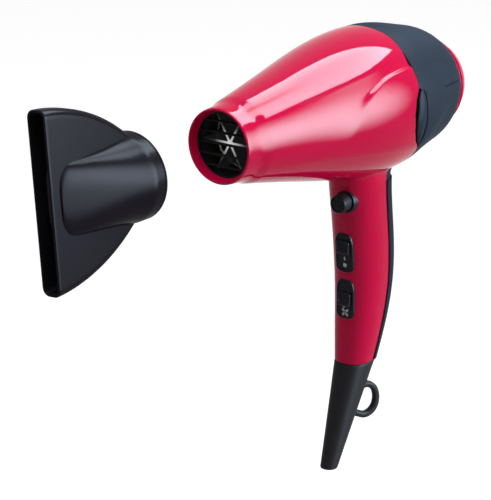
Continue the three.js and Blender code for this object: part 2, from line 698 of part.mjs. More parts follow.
// ---------------------------------------------------------------- heater
const shieldX = grillePocketEnd + CLEARANCE
const shieldEnd = shieldX + SHIELD_LENGTH
const shieldFront = LIP_BACK_RADIUS - CLEARANCE
const shieldBack = DUCT_FRONT_RADIUS - SHIELD_AIR_GAP
const shieldInner = (x) => THREE.MathUtils.mapLinear(x, shieldX, shieldEnd, shieldFront, shieldBack)
add('heat_shield', turned([
  [shieldX, shieldFront],
  [shieldX, shieldFront + SHIELD_WALL],
  [shieldEnd, shieldBack + SHIELD_WALL],
  [shieldEnd, shieldBack],
], CAVITY_SIDES), MICA_SILVER)

const micaEdge = (x) => shieldInner(x) - CLEARANCE - 0.1
const coilRadius = (x) => micaEdge(x) - COIL_INSET
const coilGap = COIL_WIRE_RADIUS + CLEARANCE + 0.1

/** One wing of the mica cross, with a notch wherever the coil passes it. */
function micaWing(i) {
  const turn = (i + 0.5) / MICA_WINGS
  const end = MICA_START_X + MICA_LENGTH
  const points = [[MICA_START_X, 0], [MICA_START_X, micaEdge(MICA_START_X)]]
  for (let k = 0; k < COIL_TURNS; k++) {
    const x = COIL_START_X + COIL_PITCH * (k + turn)
    const floor = coilRadius(x) - coilGap
    points.push([x - coilGap, micaEdge(x - coilGap)], [x - coilGap, floor])
    points.push([x + coilGap, floor], [x + coilGap, micaEdge(x + coilGap)])
  }
  points.push([end, micaEdge(end)], [end, 0])
  return prism(outline(points), 'Y', -MICA_THICKNESS / 2, MICA_THICKNESS / 2).rotate([-360 * turn, 0, 0])
}
const micaWings = Array.from({ length: MICA_WINGS }, (_, i) => micaWing(i))
const micaEnd = MICA_START_X + MICA_LENGTH
add('mica_frame', union([disc(MICA_START_X, micaEnd, MICA_CORE_RADIUS, 12), ...micaWings]), MICA_SILVER)
const coilHelix = new Helix(COIL_START_X, COIL_PITCH, COIL_TURNS, coilRadius)
add('heating_coil', wire(coilHelix, COIL_WIRE_RADIUS, COIL_TURNS * 12, 2), NICHROME)

const cutoutX = micaEnd + CLEARANCE
const cutoutBack = cutoutX + CUTOUT_THICKNESS
const cutout = disc(cutoutX, cutoutBack, CUTOUT_RADIUS, 20)
  .add(disc(cutoutBack - 0.5, cutoutBack + 1.2, CUTOUT_RADIUS * 0.6, 16))
add('thermal_cutout', cutout, STEEL)
const fuseOffset = (MICA_THICKNESS / 2 + FUSE_RADIUS + CLEARANCE) / Math.sin(Math.PI / MICA_WINGS)
const fuse = disc(MICA_START_X + FUSE_SETBACK, MICA_START_X + FUSE_SETBACK + FUSE_LENGTH, FUSE_RADIUS, 12)
add('thermal_fuse', fuse.translate([0, 0, fuseOffset]), NYLON_WHITE)

// ---------------------------------------------------------------- fan housing with its stator
const ductRadius = FAN_RADIUS + FAN_RUNNING_GAP
const ductBackX = FAN_X + FAN_DEPTH + 4
const ductStraightX = FAN_X - 10
const podRadius = MOTOR_RADIUS + CLEARANCE
const ductInner = (x) => {
  const share = THREE.MathUtils.inverseLerp(DUCT_FRONT_X, ductStraightX, Math.min(x, ductStraightX))
  return THREE.MathUtils.lerp(DUCT_FRONT_RADIUS, ductRadius, share)
}

function fanHousing() {
  const flangeRadius = barrelRadius(DUCT_FLANGE_X) - BARREL_WALL - CLEARANCE
  const shell = turned([
    [DUCT_FRONT_X, DUCT_FRONT_RADIUS],
    [ductStraightX, ductRadius],
    [ductBackX, ductRadius],
    [ductBackX + 2, ductRadius + DUCT_WALL + 0.6],
    [ductBackX, ductRadius + DUCT_WALL],
    [ductStraightX, ductRadius + DUCT_WALL],
    [DUCT_FLANGE_X + DUCT_FLANGE, ductInner(DUCT_FLANGE_X + DUCT_FLANGE) + DUCT_WALL],
    [DUCT_FLANGE_X + DUCT_FLANGE, flangeRadius],
    [DUCT_FLANGE_X, flangeRadius],
    [DUCT_FLANGE_X, ductInner(DUCT_FLANGE_X) + DUCT_WALL],
    [DUCT_FRONT_X, DUCT_FRONT_RADIUS + DUCT_WALL],
  ], CAVITY_SIDES)
  const podEnd = MOTOR_X + MOTOR_LENGTH + 6
  const pod = turned([
    [MOTOR_X - 2.4, podRadius - 4],
    [MOTOR_X - 2.4, podRadius - 1],
    [MOTOR_X + 1, podRadius + POD_WALL],
    [podEnd, podRadius + POD_WALL],
    [podEnd, podRadius],
    [MOTOR_X - CLEARANCE, podRadius],
    [MOTOR_X - CLEARANCE, podRadius - 4],
  ])
  const vaneX = DUCT_FLANGE_X
  const vane = prism(
    outline([
      [vaneX, podRadius + POD_WALL / 2],
      [vaneX + STATOR_VANE_LENGTH, podRadius + POD_WALL / 2],
      [vaneX + STATOR_VANE_LENGTH, ductInner(vaneX + STATOR_VANE_LENGTH) + DUCT_WALL / 2],
      [vaneX, ductInner(vaneX) + DUCT_WALL / 2],
    ]),
    'Y', -STATOR_VANE_THICKNESS / 2, STATOR_VANE_THICKNESS / 2
  )
  const turns = Array.from({ length: STATOR_VANES }, (_, i) => (360 * i) / STATOR_VANES)
  return union([shell, pod, ...turns.map((turn) => vane.rotate([turn, 0, 0]))])
}
add('fan_housing', fanHousing(), BLACK_SATIN)

// ---------------------------------------------------------------- impeller
/** Blade as a loft from the hub to the tip, its pitch easing off on the way. */
function fanBlade() {
  const rings = [FAN_HUB_RADIUS - 0.6, 24, FAN_RADIUS].map((radius) => {
    const share = (radius - FAN_HUB_RADIUS) / (FAN_RADIUS - FAN_HUB_RADIUS)
    const pitch = degrees(FAN_BLADE_PITCH - FAN_BLADE_TWIST * share)
    const chord = (FAN_DEPTH - 3) * (1 + 0.3 * share)
    const [middle, edge] = [FAN_BLADE_THICKNESS / 2, FAN_BLADE_THICKNESS / 4]
    const profile = [
      [-chord / 2, -edge],
      [0, -middle - FAN_BLADE_CAMBER],
      [chord / 2, -edge],
      [chord / 2, edge],
      [0, middle - FAN_BLADE_CAMBER],
      [-chord / 2, edge],
    ]
    return profile.map(([along, across]) => {
      const x = along * Math.sin(pitch) + across * Math.cos(pitch)
      const turn = (along * Math.cos(pitch) - across * Math.sin(pitch)) / radius
      return V(FAN_X + FAN_DEPTH * 0.45 + x, radius * Math.sin(turn), radius * Math.cos(turn))
    })
  })
  return loft(rings)
}
const hubBack = FAN_X + FAN_DEPTH
const shaftBore = SHAFT_RADIUS + CLEARANCE
const hub = turned([
  [FAN_X - 1, FAN_HUB_RADIUS - 1.6],
  [FAN_X - 1, FAN_HUB_RADIUS],
  [hubBack - 6, FAN_HUB_RADIUS],
  [hubBack - 1, FAN_HUB_RADIUS * 0.62],
  [hubBack + 0.5, shaftBore],
  [FAN_X + 4, shaftBore],
  [FAN_X + 4, shaftBore + 2.8],
  [hubBack - 5, shaftBore + 2.8],
  [hubBack - 6, FAN_HUB_RADIUS - 4],
  [hubBack - 9, FAN_HUB_RADIUS - 1.6],
])
const blades = Array.from({ length: FAN_BLADES }, (_, i) =>
  fanBlade().rotate([(360 * i) / FAN_BLADES, 0, 0])
)
add('impeller', union([hub, ...blades]), BLACK_MATT)

// ---------------------------------------------------------------- motor
const motorEnd = MOTOR_X + MOTOR_LENGTH
const bushSeat = BUSH_RADIUS + CLEARANCE
const canInner = MOTOR_RADIUS - MOTOR_CAN_WALL
add('motor_can', turned([
  [MOTOR_X, bushSeat],
  [MOTOR_X, MOTOR_RADIUS],
  [motorEnd, MOTOR_RADIUS],
  [motorEnd, canInner],
  [MOTOR_X + MOTOR_CAN_WALL, canInner],
  [MOTOR_X + MOTOR_CAN_WALL, bushSeat],
]), STEEL)
add('front_bushing', tube(MOTOR_X - 0.5, MOTOR_X - 0.5 + BUSH_LENGTH, shaftBore, BUSH_RADIUS, 14), COPPER)
const capX = motorEnd + CLEARANCE
add('rear_bushing', tube(capX, capX + BUSH_LENGTH, shaftBore, BUSH_RADIUS, 14), COPPER)
add('motor_shaft', disc(MOTOR_X - 2, hubBack - 1, SHAFT_RADIUS, 14), STEEL)

const magnetOuter = canInner - 2 * CLEARANCE
const magnetX = MOTOR_X + 5
const magnetLength = ARMATURE_LENGTH + 3
for (const [name, side] of [['upper', 90], ['lower', 270]]) {
  const [from, to] = [degrees(side - MAGNET_ARC / 2), degrees(side + MAGNET_ARC / 2)]
  const arc = new THREE.Shape()
  arc.absarc(0, 0, magnetOuter, from, to, false)
  arc.absarc(0, 0, magnetOuter - MAGNET_THICKNESS, to, from, true)
  add(`${name}_magnet`, prism(arc, 'X', magnetX, magnetX + magnetLength, 4), FERRITE)
}

const armatureX = magnetX + 1.5
const armatureRadius = magnetOuter - MAGNET_THICKNESS - ARMATURE_GAP
const armatureEnd = armatureX + ARMATURE_LENGTH
const slotCut = Array.from({ length: ARMATURE_SLOTS }, (_, i) => {
  const mouthDepth = armatureRadius - 2.2
  const mouth = block([armatureX - 1, -0.8, mouthDepth - 0.2], [armatureEnd + 1, 0.8, armatureRadius + 1])
  return block([armatureX - 1, -2.6, armatureRadius - 7], [armatureEnd + 1, 2.6, mouthDepth])
    .add(mouth)
    .rotate([(360 * i) / ARMATURE_SLOTS, 0, 0])
})
const core = tube(armatureX, armatureEnd, shaftBore, armatureRadius)
add('armature', core.subtract(union(slotCut)), COPPER)
const commutatorX = armatureEnd + 1
const commutatorEnd = commutatorX + COMMUTATOR_LENGTH
add('commutator', tube(commutatorX, commutatorEnd, shaftBore, COMMUTATOR_RADIUS, 14), COPPER)

const brushX = commutatorX + COMMUTATOR_LENGTH / 2
const brushHalf = BRUSH_SIZE / 2
const holder = brushHalf + CLEARANCE + 0.9
const brushFrom = COMMUTATOR_RADIUS + CLEARANCE
const brushTo = canInner - 1.5
function endCap() {
  const plate = tube(capX, capX + 2.4, bushSeat, MOTOR_RADIUS)
  const arms = [-1, 1].map((side) => {
    const [from, to] = [side * 6.5, side * (brushTo - 0.5)].sort((a, b) => a - b)
    return block([brushX - holder, from, -holder], [capX + 1, to, holder]).subtract(
      block([brushX - brushHalf - CLEARANCE, from - 1, -brushHalf - CLEARANCE],
        [brushX + brushHalf + CLEARANCE, to + 1, brushHalf + CLEARANCE])
    )
  })
  return union([plate, ...arms])
}
add('motor_end_cap', endCap(), BLACK_SATIN)
for (const [name, side] of [['left', -1], ['right', 1]]) {
  const [from, to] = [side * brushFrom, side * brushTo].sort((a, b) => a - b)
  const brush = block([brushX - brushHalf, from, -brushHalf], [brushX + brushHalf, to, brushHalf])
  add(`${name}_brush`, brush, GRAPHITE)
}

// ---------------------------------------------------------------- slide switches
function bezel() {
  const flange = prism(bezelShape(BEZEL_WIDTH, BEZEL_LENGTH), 'X', -BEZEL_PROUD, BEZEL_SUNK, 3)
  const neck = prism(bezelShape(BEZEL_NECK_WIDTH, BEZEL_NECK_LENGTH), 'X', 0, BEZEL_NECK_DEPTH, 3)
  const panShape = bezelShape(BEZEL_WIDTH - 2 * BEZEL_RIM, BEZEL_LENGTH - 2 * BEZEL_RIM)
  const pan = prism(panShape, 'X', -BEZEL_PROUD - 1, BEZEL_FLOOR_TOP, 3)
  const hollowShape = bezelShape(BEZEL_NECK_WIDTH - 2 * BEZEL_RIM, BEZEL_NECK_LENGTH - 2 * BEZEL_RIM)
  const hollow = prism(hollowShape, 'X', BEZEL_FLOOR_TOP + BEZEL_FLOOR, BEZEL_NECK_DEPTH + 1, 3)
  const track = [STEM_WIDTH / 2 + CLEARANCE, STEM_LENGTH / 2 + SLIDER_STEP + CLEARANCE]
  const slot = block([-BEZEL_PROUD - 1, -track[0], -track[1]], [BEZEL_NECK_DEPTH + 1, track[0], track[1]])
  return flange.add(neck).subtract(pan).subtract(hollow).subtract(slot)
}

/** Thumb slide: a dished ramp that rises to a nose at its lower end, between two side rails, on a stem. */
function slider() {
  const half = SLIDER_LENGTH / 2
  const base = BEZEL_FLOOR_TOP - CLEARANCE
  const ramp = new THREE.Shape()
  ramp.moveTo(base, half)
  ramp.lineTo(-1.1, half)
  ramp.quadraticCurveTo(-0.5, 0, -SLIDER_NOSE, -half + 2.2)
  ramp.quadraticCurveTo(-SLIDER_NOSE - 0.6, -half + 0.9, -SLIDER_NOSE + 0.8, -half)
  ramp.lineTo(base, -half)
  const dish = prism(ramp, 'Y', -SLIDER_WIDTH / 2, SLIDER_WIDTH / 2, 5)
  const railShape = outline([
    [base, half - 0.6],
    [-1.9, half - 0.6],
    [-SLIDER_NOSE + 0.4, -half + 2],
    [base, -half + 2],
  ])
  const rails = [-SLIDER_WIDTH / 2, SLIDER_WIDTH / 2 - SLIDER_RAIL].map((from) =>
    prism(railShape, 'Y', from, from + SLIDER_RAIL)
  )
  const stem = block(
    [base - 0.1, -STEM_WIDTH / 2, -STEM_LENGTH / 2],
    [BEZEL_NECK_DEPTH + CLEARANCE + STEM_ENTRY, STEM_WIDTH / 2, STEM_LENGTH / 2]
  )
  return union([dish, ...rails, stem])
}

function switchBody() {
  const front = BEZEL_NECK_DEPTH + CLEARANCE
  const { depth, width, length } = SWITCH_BODY
  const track = [STEM_WIDTH / 2 + CLEARANCE, STEM_LENGTH / 2 + SLIDER_STEP + CLEARANCE]
  const tabs = [-6, 0, 6].map((z) =>
    block([front + depth - 0.5, -2, z - 0.4], [front + depth + 4, 2, z + 0.4])
  )
  const slotEnd = front + STEM_ENTRY + CLEARANCE
  return block([front, -width / 2, -length / 2], [front + depth, width / 2, length / 2])
    .subtract(block([front - 1, -track[0], -track[1]], [slotEnd, track[0], track[1]]))
    .add(union(tabs))
}

const sliderRest = { heat: SLIDER_STEP, speed: 0 } // above the middle of the bezel
for (const use of ['heat', 'speed']) {
  add(`${use}_bezel`, placed(bezel(), frames[use]), BLACK_SATIN)
  add(`${use}_slider`, placed(slider().translate([0, 0, sliderRest[use]]), frames[use]), BLACK_SATIN)
  add(`${use}_switch`, placed(switchBody(), frames[use]), BLACK_MATT)
}

// ---------------------------------------------------------------- cool-shot button
const sleeveSeat = COOL_SLEEVE_DEPTH - 1.2
add('cool_shot_sleeve', placed(turned([
  [-COOL_SLEEVE_PROUD, coolBore],
  [-COOL_SLEEVE_PROUD, coolSleeveRadius],
  [COOL_SLEEVE_DEPTH, coolSleeveRadius],
  [COOL_SLEEVE_DEPTH, COOL_STEM_RADIUS + CLEARANCE],
  [sleeveSeat, COOL_STEM_RADIUS + CLEARANCE],
  [sleeveSeat, coolBore],
]), coolFrame), BLACK_SATIN)
const stemEnd = COOL_SLEEVE_DEPTH + 0.6
const skirtEnd = sleeveSeat - COOL_TRAVEL - CLEARANCE
add('cool_shot_button', placed(turned([
  [-COOL_PROUD + 0.5, 0],
  [-COOL_PROUD + 0.5, COOL_RADIUS - 1.6],
  [-COOL_PROUD, COOL_RADIUS - 1.1],
  [-COOL_PROUD + 0.4, COOL_RADIUS - 0.3],
  [-COOL_PROUD + 1.3, COOL_RADIUS],
  [skirtEnd, COOL_RADIUS],
  [skirtEnd, COOL_RADIUS - 1],
  [-COOL_PROUD + 4, COOL_RADIUS - 1.3],
  [-COOL_PROUD + 4, COOL_STEM_RADIUS],
  [stemEnd, COOL_STEM_RADIUS],
  [stemEnd, 0],
]), coolFrame), BLACK_SATIN)
const springRoom = sleeveSeat - (-COOL_PROUD + 4)
const springLength = springRoom - COOL_TRAVEL - 2 * CLEARANCE - 2 * SPRING_WIRE_RADIUS
const springStart = sleeveSeat - CLEARANCE - SPRING_WIRE_RADIUS - springLength
const springHelix = new Helix(springStart, springLength / SPRING_TURNS, SPRING_TURNS, () => SPRING_RADIUS)
const spring = wire(springHelix, SPRING_WIRE_RADIUS, SPRING_TURNS * 12, 2)
add('cool_shot_spring', placed(spring, coolFrame), STEEL)

/** Switch behind the button's stem, on two feet that reach forward to the sleeve. */
function microswitch() {
  const { depth, width, length } = MICROSWITCH
  const front = stemEnd + COOL_TRAVEL + CLEARANCE
  const footFront = COOL_SLEEVE_DEPTH + CLEARANCE
  const feet = [-length / 2, length / 2 - MICROSWITCH_FOOT].map((z) =>
    block([footFront, -width / 2, z], [front + 1, width / 2, z + MICROSWITCH_FOOT])
  )
  return union([block([front, -width / 2, -length / 2], [front + depth, width / 2, length / 2]), ...feet])
}
add('cool_shot_microswitch', placed(microswitch(), coolFrame), BLACK_MATT)

// ---------------------------------------------------------------- cord guard with its hanging loop
function guardRing(z, inset) {
  const share = THREE.MathUtils.inverseLerp(HANDLE_END_Z, GUARD_END_Z, z)
  const between = (a, b) => THREE.MathUtils.lerp(a, b, share)
  return levelRing(z, between(HANDLE_END_CENTRE_X, GUARD_END_CENTRE_X),
    between(HANDLE_END_HALF_DEPTH, GUARD_END_RADIUS) - inset,
    between(HANDLE_END_HALF_WIDTH, GUARD_END_RADIUS) - inset,
    between(HANDLE_SQUARENESS, 2))
}

function cordGuard() {
  const topZ = HANDLE_END_Z - CLEARANCE
  const outer = loft(spaced(topZ, GUARD_END_Z, 3).map((z) => guardRing(z, 0)))
  const spigotInset = HANDLE_WALL + CLEARANCE
  const boreInset = spigotInset + GUARD_SPIGOT_WALL
  const spigot = loft([guardSeatZ, HANDLE_END_Z].map((z) => handleRing(z, spigotInset)))
    .add(loft([HANDLE_END_Z, topZ - 1].map((z) => handleRing(HANDLE_END_Z, spigotInset, z))))
    .subtract(block([0, -FAR, HANDLE_END_Z + GUARD_SPIGOT], [FAR * 3, FAR, 0]))
  const bore = loft([
    handleRing(guardSeatZ, boreInset),
    handleRing(HANDLE_END_Z, boreInset),
    guardRing(GUARD_END_Z, GUARD_END_RADIUS - CORD_BORE_RADIUS),
    guardRing(GUARD_END_Z, GUARD_END_RADIUS - CORD_BORE_RADIUS).map((p) => p.setZ(GUARD_END_Z - 1)),
  ])
  const turn = degrees(LOOP_TURN)
  const rise = LOOP_TOP_Z - LOOP_BOTTOM_Z
  const middleZ = (LOOP_TOP_Z + LOOP_BOTTOM_Z) / 2
  const share = THREE.MathUtils.inverseLerp(HANDLE_END_Z, GUARD_END_Z, middleZ)
  const axisX = THREE.MathUtils.lerp(HANDLE_END_CENTRE_X, GUARD_END_CENTRE_X, share)
  const loop = new THREE.CatmullRomCurve3(
    LOOP_FORM.map(([reach, down]) => {
      const out = reach * LOOP_REACH
      return V(axisX + out * Math.cos(turn), -out * Math.sin(turn), LOOP_TOP_Z - down * rise)
    })
  )
  return union([outer, spigot, wire(loop, LOOP_WIRE_RADIUS, 18, 3)]).subtract(bore)
}
add('cord_guard', cordGuard(), BLACK_SATIN)

// ---------------------------------------------------------------- nozzle
const collarBore = neckRadius(NOZZLE_ENGAGEMENT) + CLEARANCE
const collarRadius = collarBore + NOZZLE_WALL
const throatLength = NOZZLE_LENGTH - THROAT_SETBACK

/** Section of the nozzle's throat: round at the collar, a rounded rectangle `step` proud of the plate. */
function throatRing(x, inset, step = 0) {
  const share = THREE.MathUtils.smoothstep(-x, COLLAR_LENGTH, throatLength)
  const straight = THREE.MathUtils.inverseLerp(COLLAR_LENGTH, throatLength, Math.max(-x, COLLAR_LENGTH))
  const halfThickness = THREE.MathUtils.lerp(collarRadius, SLOT_HALF_THICKNESS + step, straight) - inset
  const eased = straight * (2 - straight)
  const halfLength = THREE.MathUtils.lerp(collarRadius, THROAT_HALF_LENGTH, eased) - inset
  const squareness = THREE.MathUtils.lerp(2, 4.5, share)
  return Array.from({ length: BARREL_SIDES }, (_, i) => {
    const angle = (2 * Math.PI * i) / BARREL_SIDES
    const [c, s] = [Math.cos(angle), Math.sin(angle)]
    const scale = (Math.abs(c) ** squareness + Math.abs(s) ** squareness) ** (-1 / squareness)
    return V(x, halfThickness * scale * s, halfLength * scale * c)
  })
}

/** Flat plate of the nozzle seen from the side, moved inwards by `inset` and cut off at `front`. */
function plateShape(inset, front) {
  const half = SLOT_HALF_LENGTH - inset
  const back = -PLATE_BACK - inset
  const root = PLATE_BACK_HALF - inset
  const pulled = [back - PLATE_BACK_PULL[0], root + PLATE_BACK_PULL[1]]
  const shape = new THREE.Shape()
  shape.moveTo(front, -half)
  shape.lineTo(-NOZZLE_LENGTH, -half)
  shape.bezierCurveTo(PLATE_FRONT_PULL - NOZZLE_LENGTH, -half, pulled[0], -pulled[1], back, -root)
  shape.lineTo(back, root)
  shape.bezierCurveTo(pulled[0], pulled[1], PLATE_FRONT_PULL - NOZZLE_LENGTH, half, -NOZZLE_LENGTH, half)
  shape.lineTo(front, half)
  return shape
}

/** Slot's outline in (y, z), with rounded ends, moved inwards by `inset`. */
function slotShape(inset) {
  const [w, l, r] = [SLOT_HALF_THICKNESS - inset, SLOT_HALF_LENGTH - inset, SLOT_CORNER - inset]
  const shape = new THREE.Shape()
  shape.absarc(w - r, l - r, r, 0, Math.PI / 2, false)
  shape.absarc(r - w, l - r, r, Math.PI / 2, Math.PI, false)
  shape.absarc(r - w, r - l, r, Math.PI, 1.5 * Math.PI, false)
  shape.absarc(w - r, r - l, r, 1.5 * Math.PI, 2 * Math.PI, false)
  return shape
}

/** Flat plate of the nozzle, or the duct inside it, with its slot's end at `front`. */
const plateBody = (inset, front) =>
  prism(plateShape(inset, front), 'Y', -SLOT_HALF_THICKNESS, SLOT_HALF_THICKNESS, 7)
    .intersect(prism(slotShape(inset), 'X', front, 0, 2))

function nozzle() {
  const stations = spaced(-COLLAR_LENGTH, -throatLength, 4)
  const outerThroat = loft([0, ...stations].map((x) => throatRing(x, 0, THROAT_STEP)))
  const innerThroat = loft([
    throatRing(0, NOZZLE_WALL).map((p) => p.setX(1)),
    ...stations.filter((_, i) => i % 2 === 0).map((x) => throatRing(x, NOZZLE_WALL)),
  ])
  return outerThroat
    .add(plateBody(0, -NOZZLE_LENGTH))
    .subtract(innerThroat.add(plateBody(NOZZLE_WALL, -NOZZLE_LENGTH - 1)))
}
const nozzlePlace = new THREE.Matrix4().makeRotationX(degrees(NOZZLE_ROLL)).setPosition(-NOZZLE_GAP, 0, 0)
add('concentrator_nozzle', placed(nozzle(), nozzlePlace), BLACK_SATIN)

export default hairDryer
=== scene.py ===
"""Hair dryer with a cool-shot button, two slide switches, a pull-off cover and a push-on nozzle.

The visual model rides on the CAD bodies. Lengths are millimetres in the dryer's own frame until
Datum.place turns them into the row frame: X runs from the barrel's mouth to its tail, Z is up and
Y = 0 is the parting plane of the two housing halves.
"""
import json
import logging
import math
from dataclasses import dataclass, field
from enum import Enum
from typing import Callable, Iterable, Sequence

import bmesh
import bpy
import numpy as np
from bpy.types import Material, Node, NodeSocket, NodeTree, Object
from mathutils import Matrix, Quaternion, Vector
from numpy import ndarray

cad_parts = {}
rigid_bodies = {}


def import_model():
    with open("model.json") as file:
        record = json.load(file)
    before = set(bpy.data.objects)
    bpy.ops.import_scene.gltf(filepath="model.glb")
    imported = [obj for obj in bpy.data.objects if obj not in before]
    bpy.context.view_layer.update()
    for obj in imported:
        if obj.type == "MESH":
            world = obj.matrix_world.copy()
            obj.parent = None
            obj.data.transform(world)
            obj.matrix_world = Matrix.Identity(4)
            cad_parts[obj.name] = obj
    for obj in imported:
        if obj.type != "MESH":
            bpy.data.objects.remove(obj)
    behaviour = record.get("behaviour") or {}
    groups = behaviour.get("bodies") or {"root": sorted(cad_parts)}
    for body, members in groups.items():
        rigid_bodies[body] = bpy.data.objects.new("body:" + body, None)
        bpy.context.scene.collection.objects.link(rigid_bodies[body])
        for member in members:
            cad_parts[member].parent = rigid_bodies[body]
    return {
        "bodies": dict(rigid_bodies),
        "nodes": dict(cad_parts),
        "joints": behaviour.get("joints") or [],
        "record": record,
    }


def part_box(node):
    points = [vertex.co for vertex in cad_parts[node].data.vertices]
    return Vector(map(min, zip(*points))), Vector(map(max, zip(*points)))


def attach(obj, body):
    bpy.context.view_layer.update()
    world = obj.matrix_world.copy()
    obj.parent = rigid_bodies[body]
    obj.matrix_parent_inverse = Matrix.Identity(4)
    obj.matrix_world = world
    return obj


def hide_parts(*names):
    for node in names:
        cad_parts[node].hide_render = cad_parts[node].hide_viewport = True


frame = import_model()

MM = 0.001
GAP = 0.3  # between two shells that meet
EDGE = 0.35  # radius of a moulded edge
COAT_IOR = 1.15  # of every clear coat: low, so that its reflections stay faint
MIRROR = np.array([1.0, -1.0, 1.0])  # across the parting plane
LOG = logging.getLogger("hair_dryer")

Colour = tuple[float, float, float]


# ---------------------------------------------------------------- frame, curves and meshes
@dataclass(frozen=True)
class Datum:
    """Place of the dryer's own frame in the row frame, in metres."""

    mouth_x: float
    axis_z: float

    @classmethod
    def from_cad(cls) -> "Datum":
        """Read the mouth from the housing and the barrel's axis from the outlet grille."""
        low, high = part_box("outlet_grille")
        return cls(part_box("left_housing")[0].x, (low.z + high.z) / 2)

    def place(self, points: ndarray) -> ndarray:
        """Turn points of the dryer's own frame into the row frame.

        Args:
            points: array of x, y, z in millimetres.

        Returns:
            The same points in metres in the row frame.
        """
        return np.asarray(points, float) * MM + np.array([self.mouth_x, 0.0, self.axis_z])

    def local(self, point: Vector) -> ndarray:
        """Turn a point of the row frame into millimetres of the dryer's own frame."""
        return (np.array(point) - np.array([self.mouth_x, 0.0, self.axis_z])) / MM


DATUM = Datum.from_cad()


class Curve:
    """Smooth curve through a few points of a function, with continuous curvature."""

    def __init__(self, *points: tuple[float, float]) -> None:
        """Fit a natural cubic spline.

        Args:
            points: the places and values that the curve passes through, in rising order.
        """
        self.x, self.y = (np.array(column, float) for column in zip(*points))
        n = len(self.x)
        step = np.diff(self.x)
        system, right = np.eye(n), np.zeros(n)
        for i in range(1, n - 1):
            system[i, i - 1 : i + 2] = step[i - 1], 2 * (step[i - 1] + step[i]), step[i]
            right[i] = 3 * (
                (self.y[i + 1] - self.y[i]) / step[i] - (self.y[i] - self.y[i - 1]) / step[i - 1]
            )
        self.bend = np.linalg.solve(system, right)

    def __call__(self, at: ndarray | float) -> ndarray:
        """Value of the curve, held straight past its two ends.

        Args:
            at: places along the curve.

        Returns:
            The values there.
        """
        x = np.clip(np.asarray(at, float), self.x[0], self.x[-1])
        i = np.clip(np.searchsorted(self.x, x, side="right") - 1, 0, len(self.x) - 2)
        step = self.x[i + 1] - self.x[i]
        slope = (self.y[i + 1] - self.y[i]) / step
        slope = slope - step * (2 * self.bend[i] + self.bend[i + 1]) / 3
        t = x - self.x[i]
        cubic = (self.bend[i + 1] - self.bend[i]) / (3 * step)
        return self.y[i] + t * (slope + t * (self.bend[i] + t * cubic))


def squared(turn: ndarray, power: ndarray | float) -> ndarray:
    """Reach of a superellipse at an angle: a circle at power 2, squarer above it."""
    return (np.abs(np.cos(turn)) ** power + np.abs(np.sin(turn)) ** power) ** (-1 / power)


def smoothstep(low: float, high: float, x: ndarray) -> ndarray:
    """Ease from 0 at `low` to 1 at `high`."""
    t = np.clip((np.asarray(x, float) - low) / (high - low), 0, 1)
    return t * t * (3 - 2 * t)


def spread(*parts: tuple[float, float, int]) -> ndarray:
    """Join runs of evenly spaced values.

    Args:
        parts: start, end and number of steps of each run, each run starting where the last ended.

    Returns:
        All values, with no value twice.
    """
    runs = [np.linspace(a, b, n, endpoint=False) for a, b, n in parts]
    return np.concatenate([*runs, [parts[-1][1]]])


def grid_normals(grid: ndarray) -> ndarray:
    """Unit normals of a grid of points.

    Args:
        grid: points in rows and columns.

    Returns:
        Rows crossed with columns, at unit length.
    """
    rows, columns = np.gradient(grid, axis=0), np.gradient(grid, axis=1)
    normal = np.cross(rows, columns)
    return normal / np.maximum(np.linalg.norm(normal, axis=2, keepdims=True), 1e-12)


def face_middles(grid: ndarray) -> ndarray:
    """Middle of each face of a grid that closes on itself along its rows."""
    ring = np.concatenate([grid, grid[:, :1]], axis=1)
    return (ring[:-1, :-1] + ring[1:, :-1] + ring[1:, 1:] + ring[:-1, 1:]) / 4


class Side(Enum):
    """Edge of a grid of points."""

    FIRST_ROW = "first row"
    LAST_ROW = "last row"
    FIRST_COLUMN = "first column"
    LAST_COLUMN = "last column"


def rolled(
    grid: ndarray,
    sides: Iterable[Side],
    depth: float,
    radius: float = EDGE,
    inwards: bool = False,
) -> ndarray:
    """Add a rounded edge and a wall behind it along the named sides of a grid.

    Args:
        grid: points in rows and columns.
        sides: sides that get the edge.
        depth: how far the wall reaches in below the surface.
        radius: radius of the edge.
        inwards: whether rows crossed with columns face into the piece.

    Returns:
        The grid with five more lines of points on each of those sides, one of them just inside the
        edge, so that the rounding doesn't shade the skin beside it.
    """
    outside = -1 if inwards else 1
    for side in sides:
        turned = grid.transpose(1, 0, 2) if "column" in side.value else grid
        if "last" in side.value:
            turned = turned[::-1]
        sign = -1 if ("column" in side.value) != ("last" in side.value) else 1
        inward = -outside * sign * grid_normals(turned)[0]
        outward = turned[0] - turned[1]
        outward /= np.maximum(np.linalg.norm(outward, axis=1, keepdims=True), 1e-12)
        lines = [
            turned[0] + radius * (outward * math.sin(a) + inward * (1 - math.cos(a)))
            for a in (math.radians(90), math.radians(60), math.radians(30))
        ]
        step = turned[1] - turned[0]
        near = radius / np.maximum(np.linalg.norm(step, axis=1, keepdims=True), 1e-9)
        support = turned[0] + step * np.minimum(near, 0.5)
        foot = lines[0] + inward * (depth - radius)
        turned = np.concatenate([[foot], lines, turned[:1], [support], turned[1:]])
        if "last" in side.value:
            turned = turned[::-1]
        grid = turned.transpose(1, 0, 2) if "column" in side.value else turned
    return grid


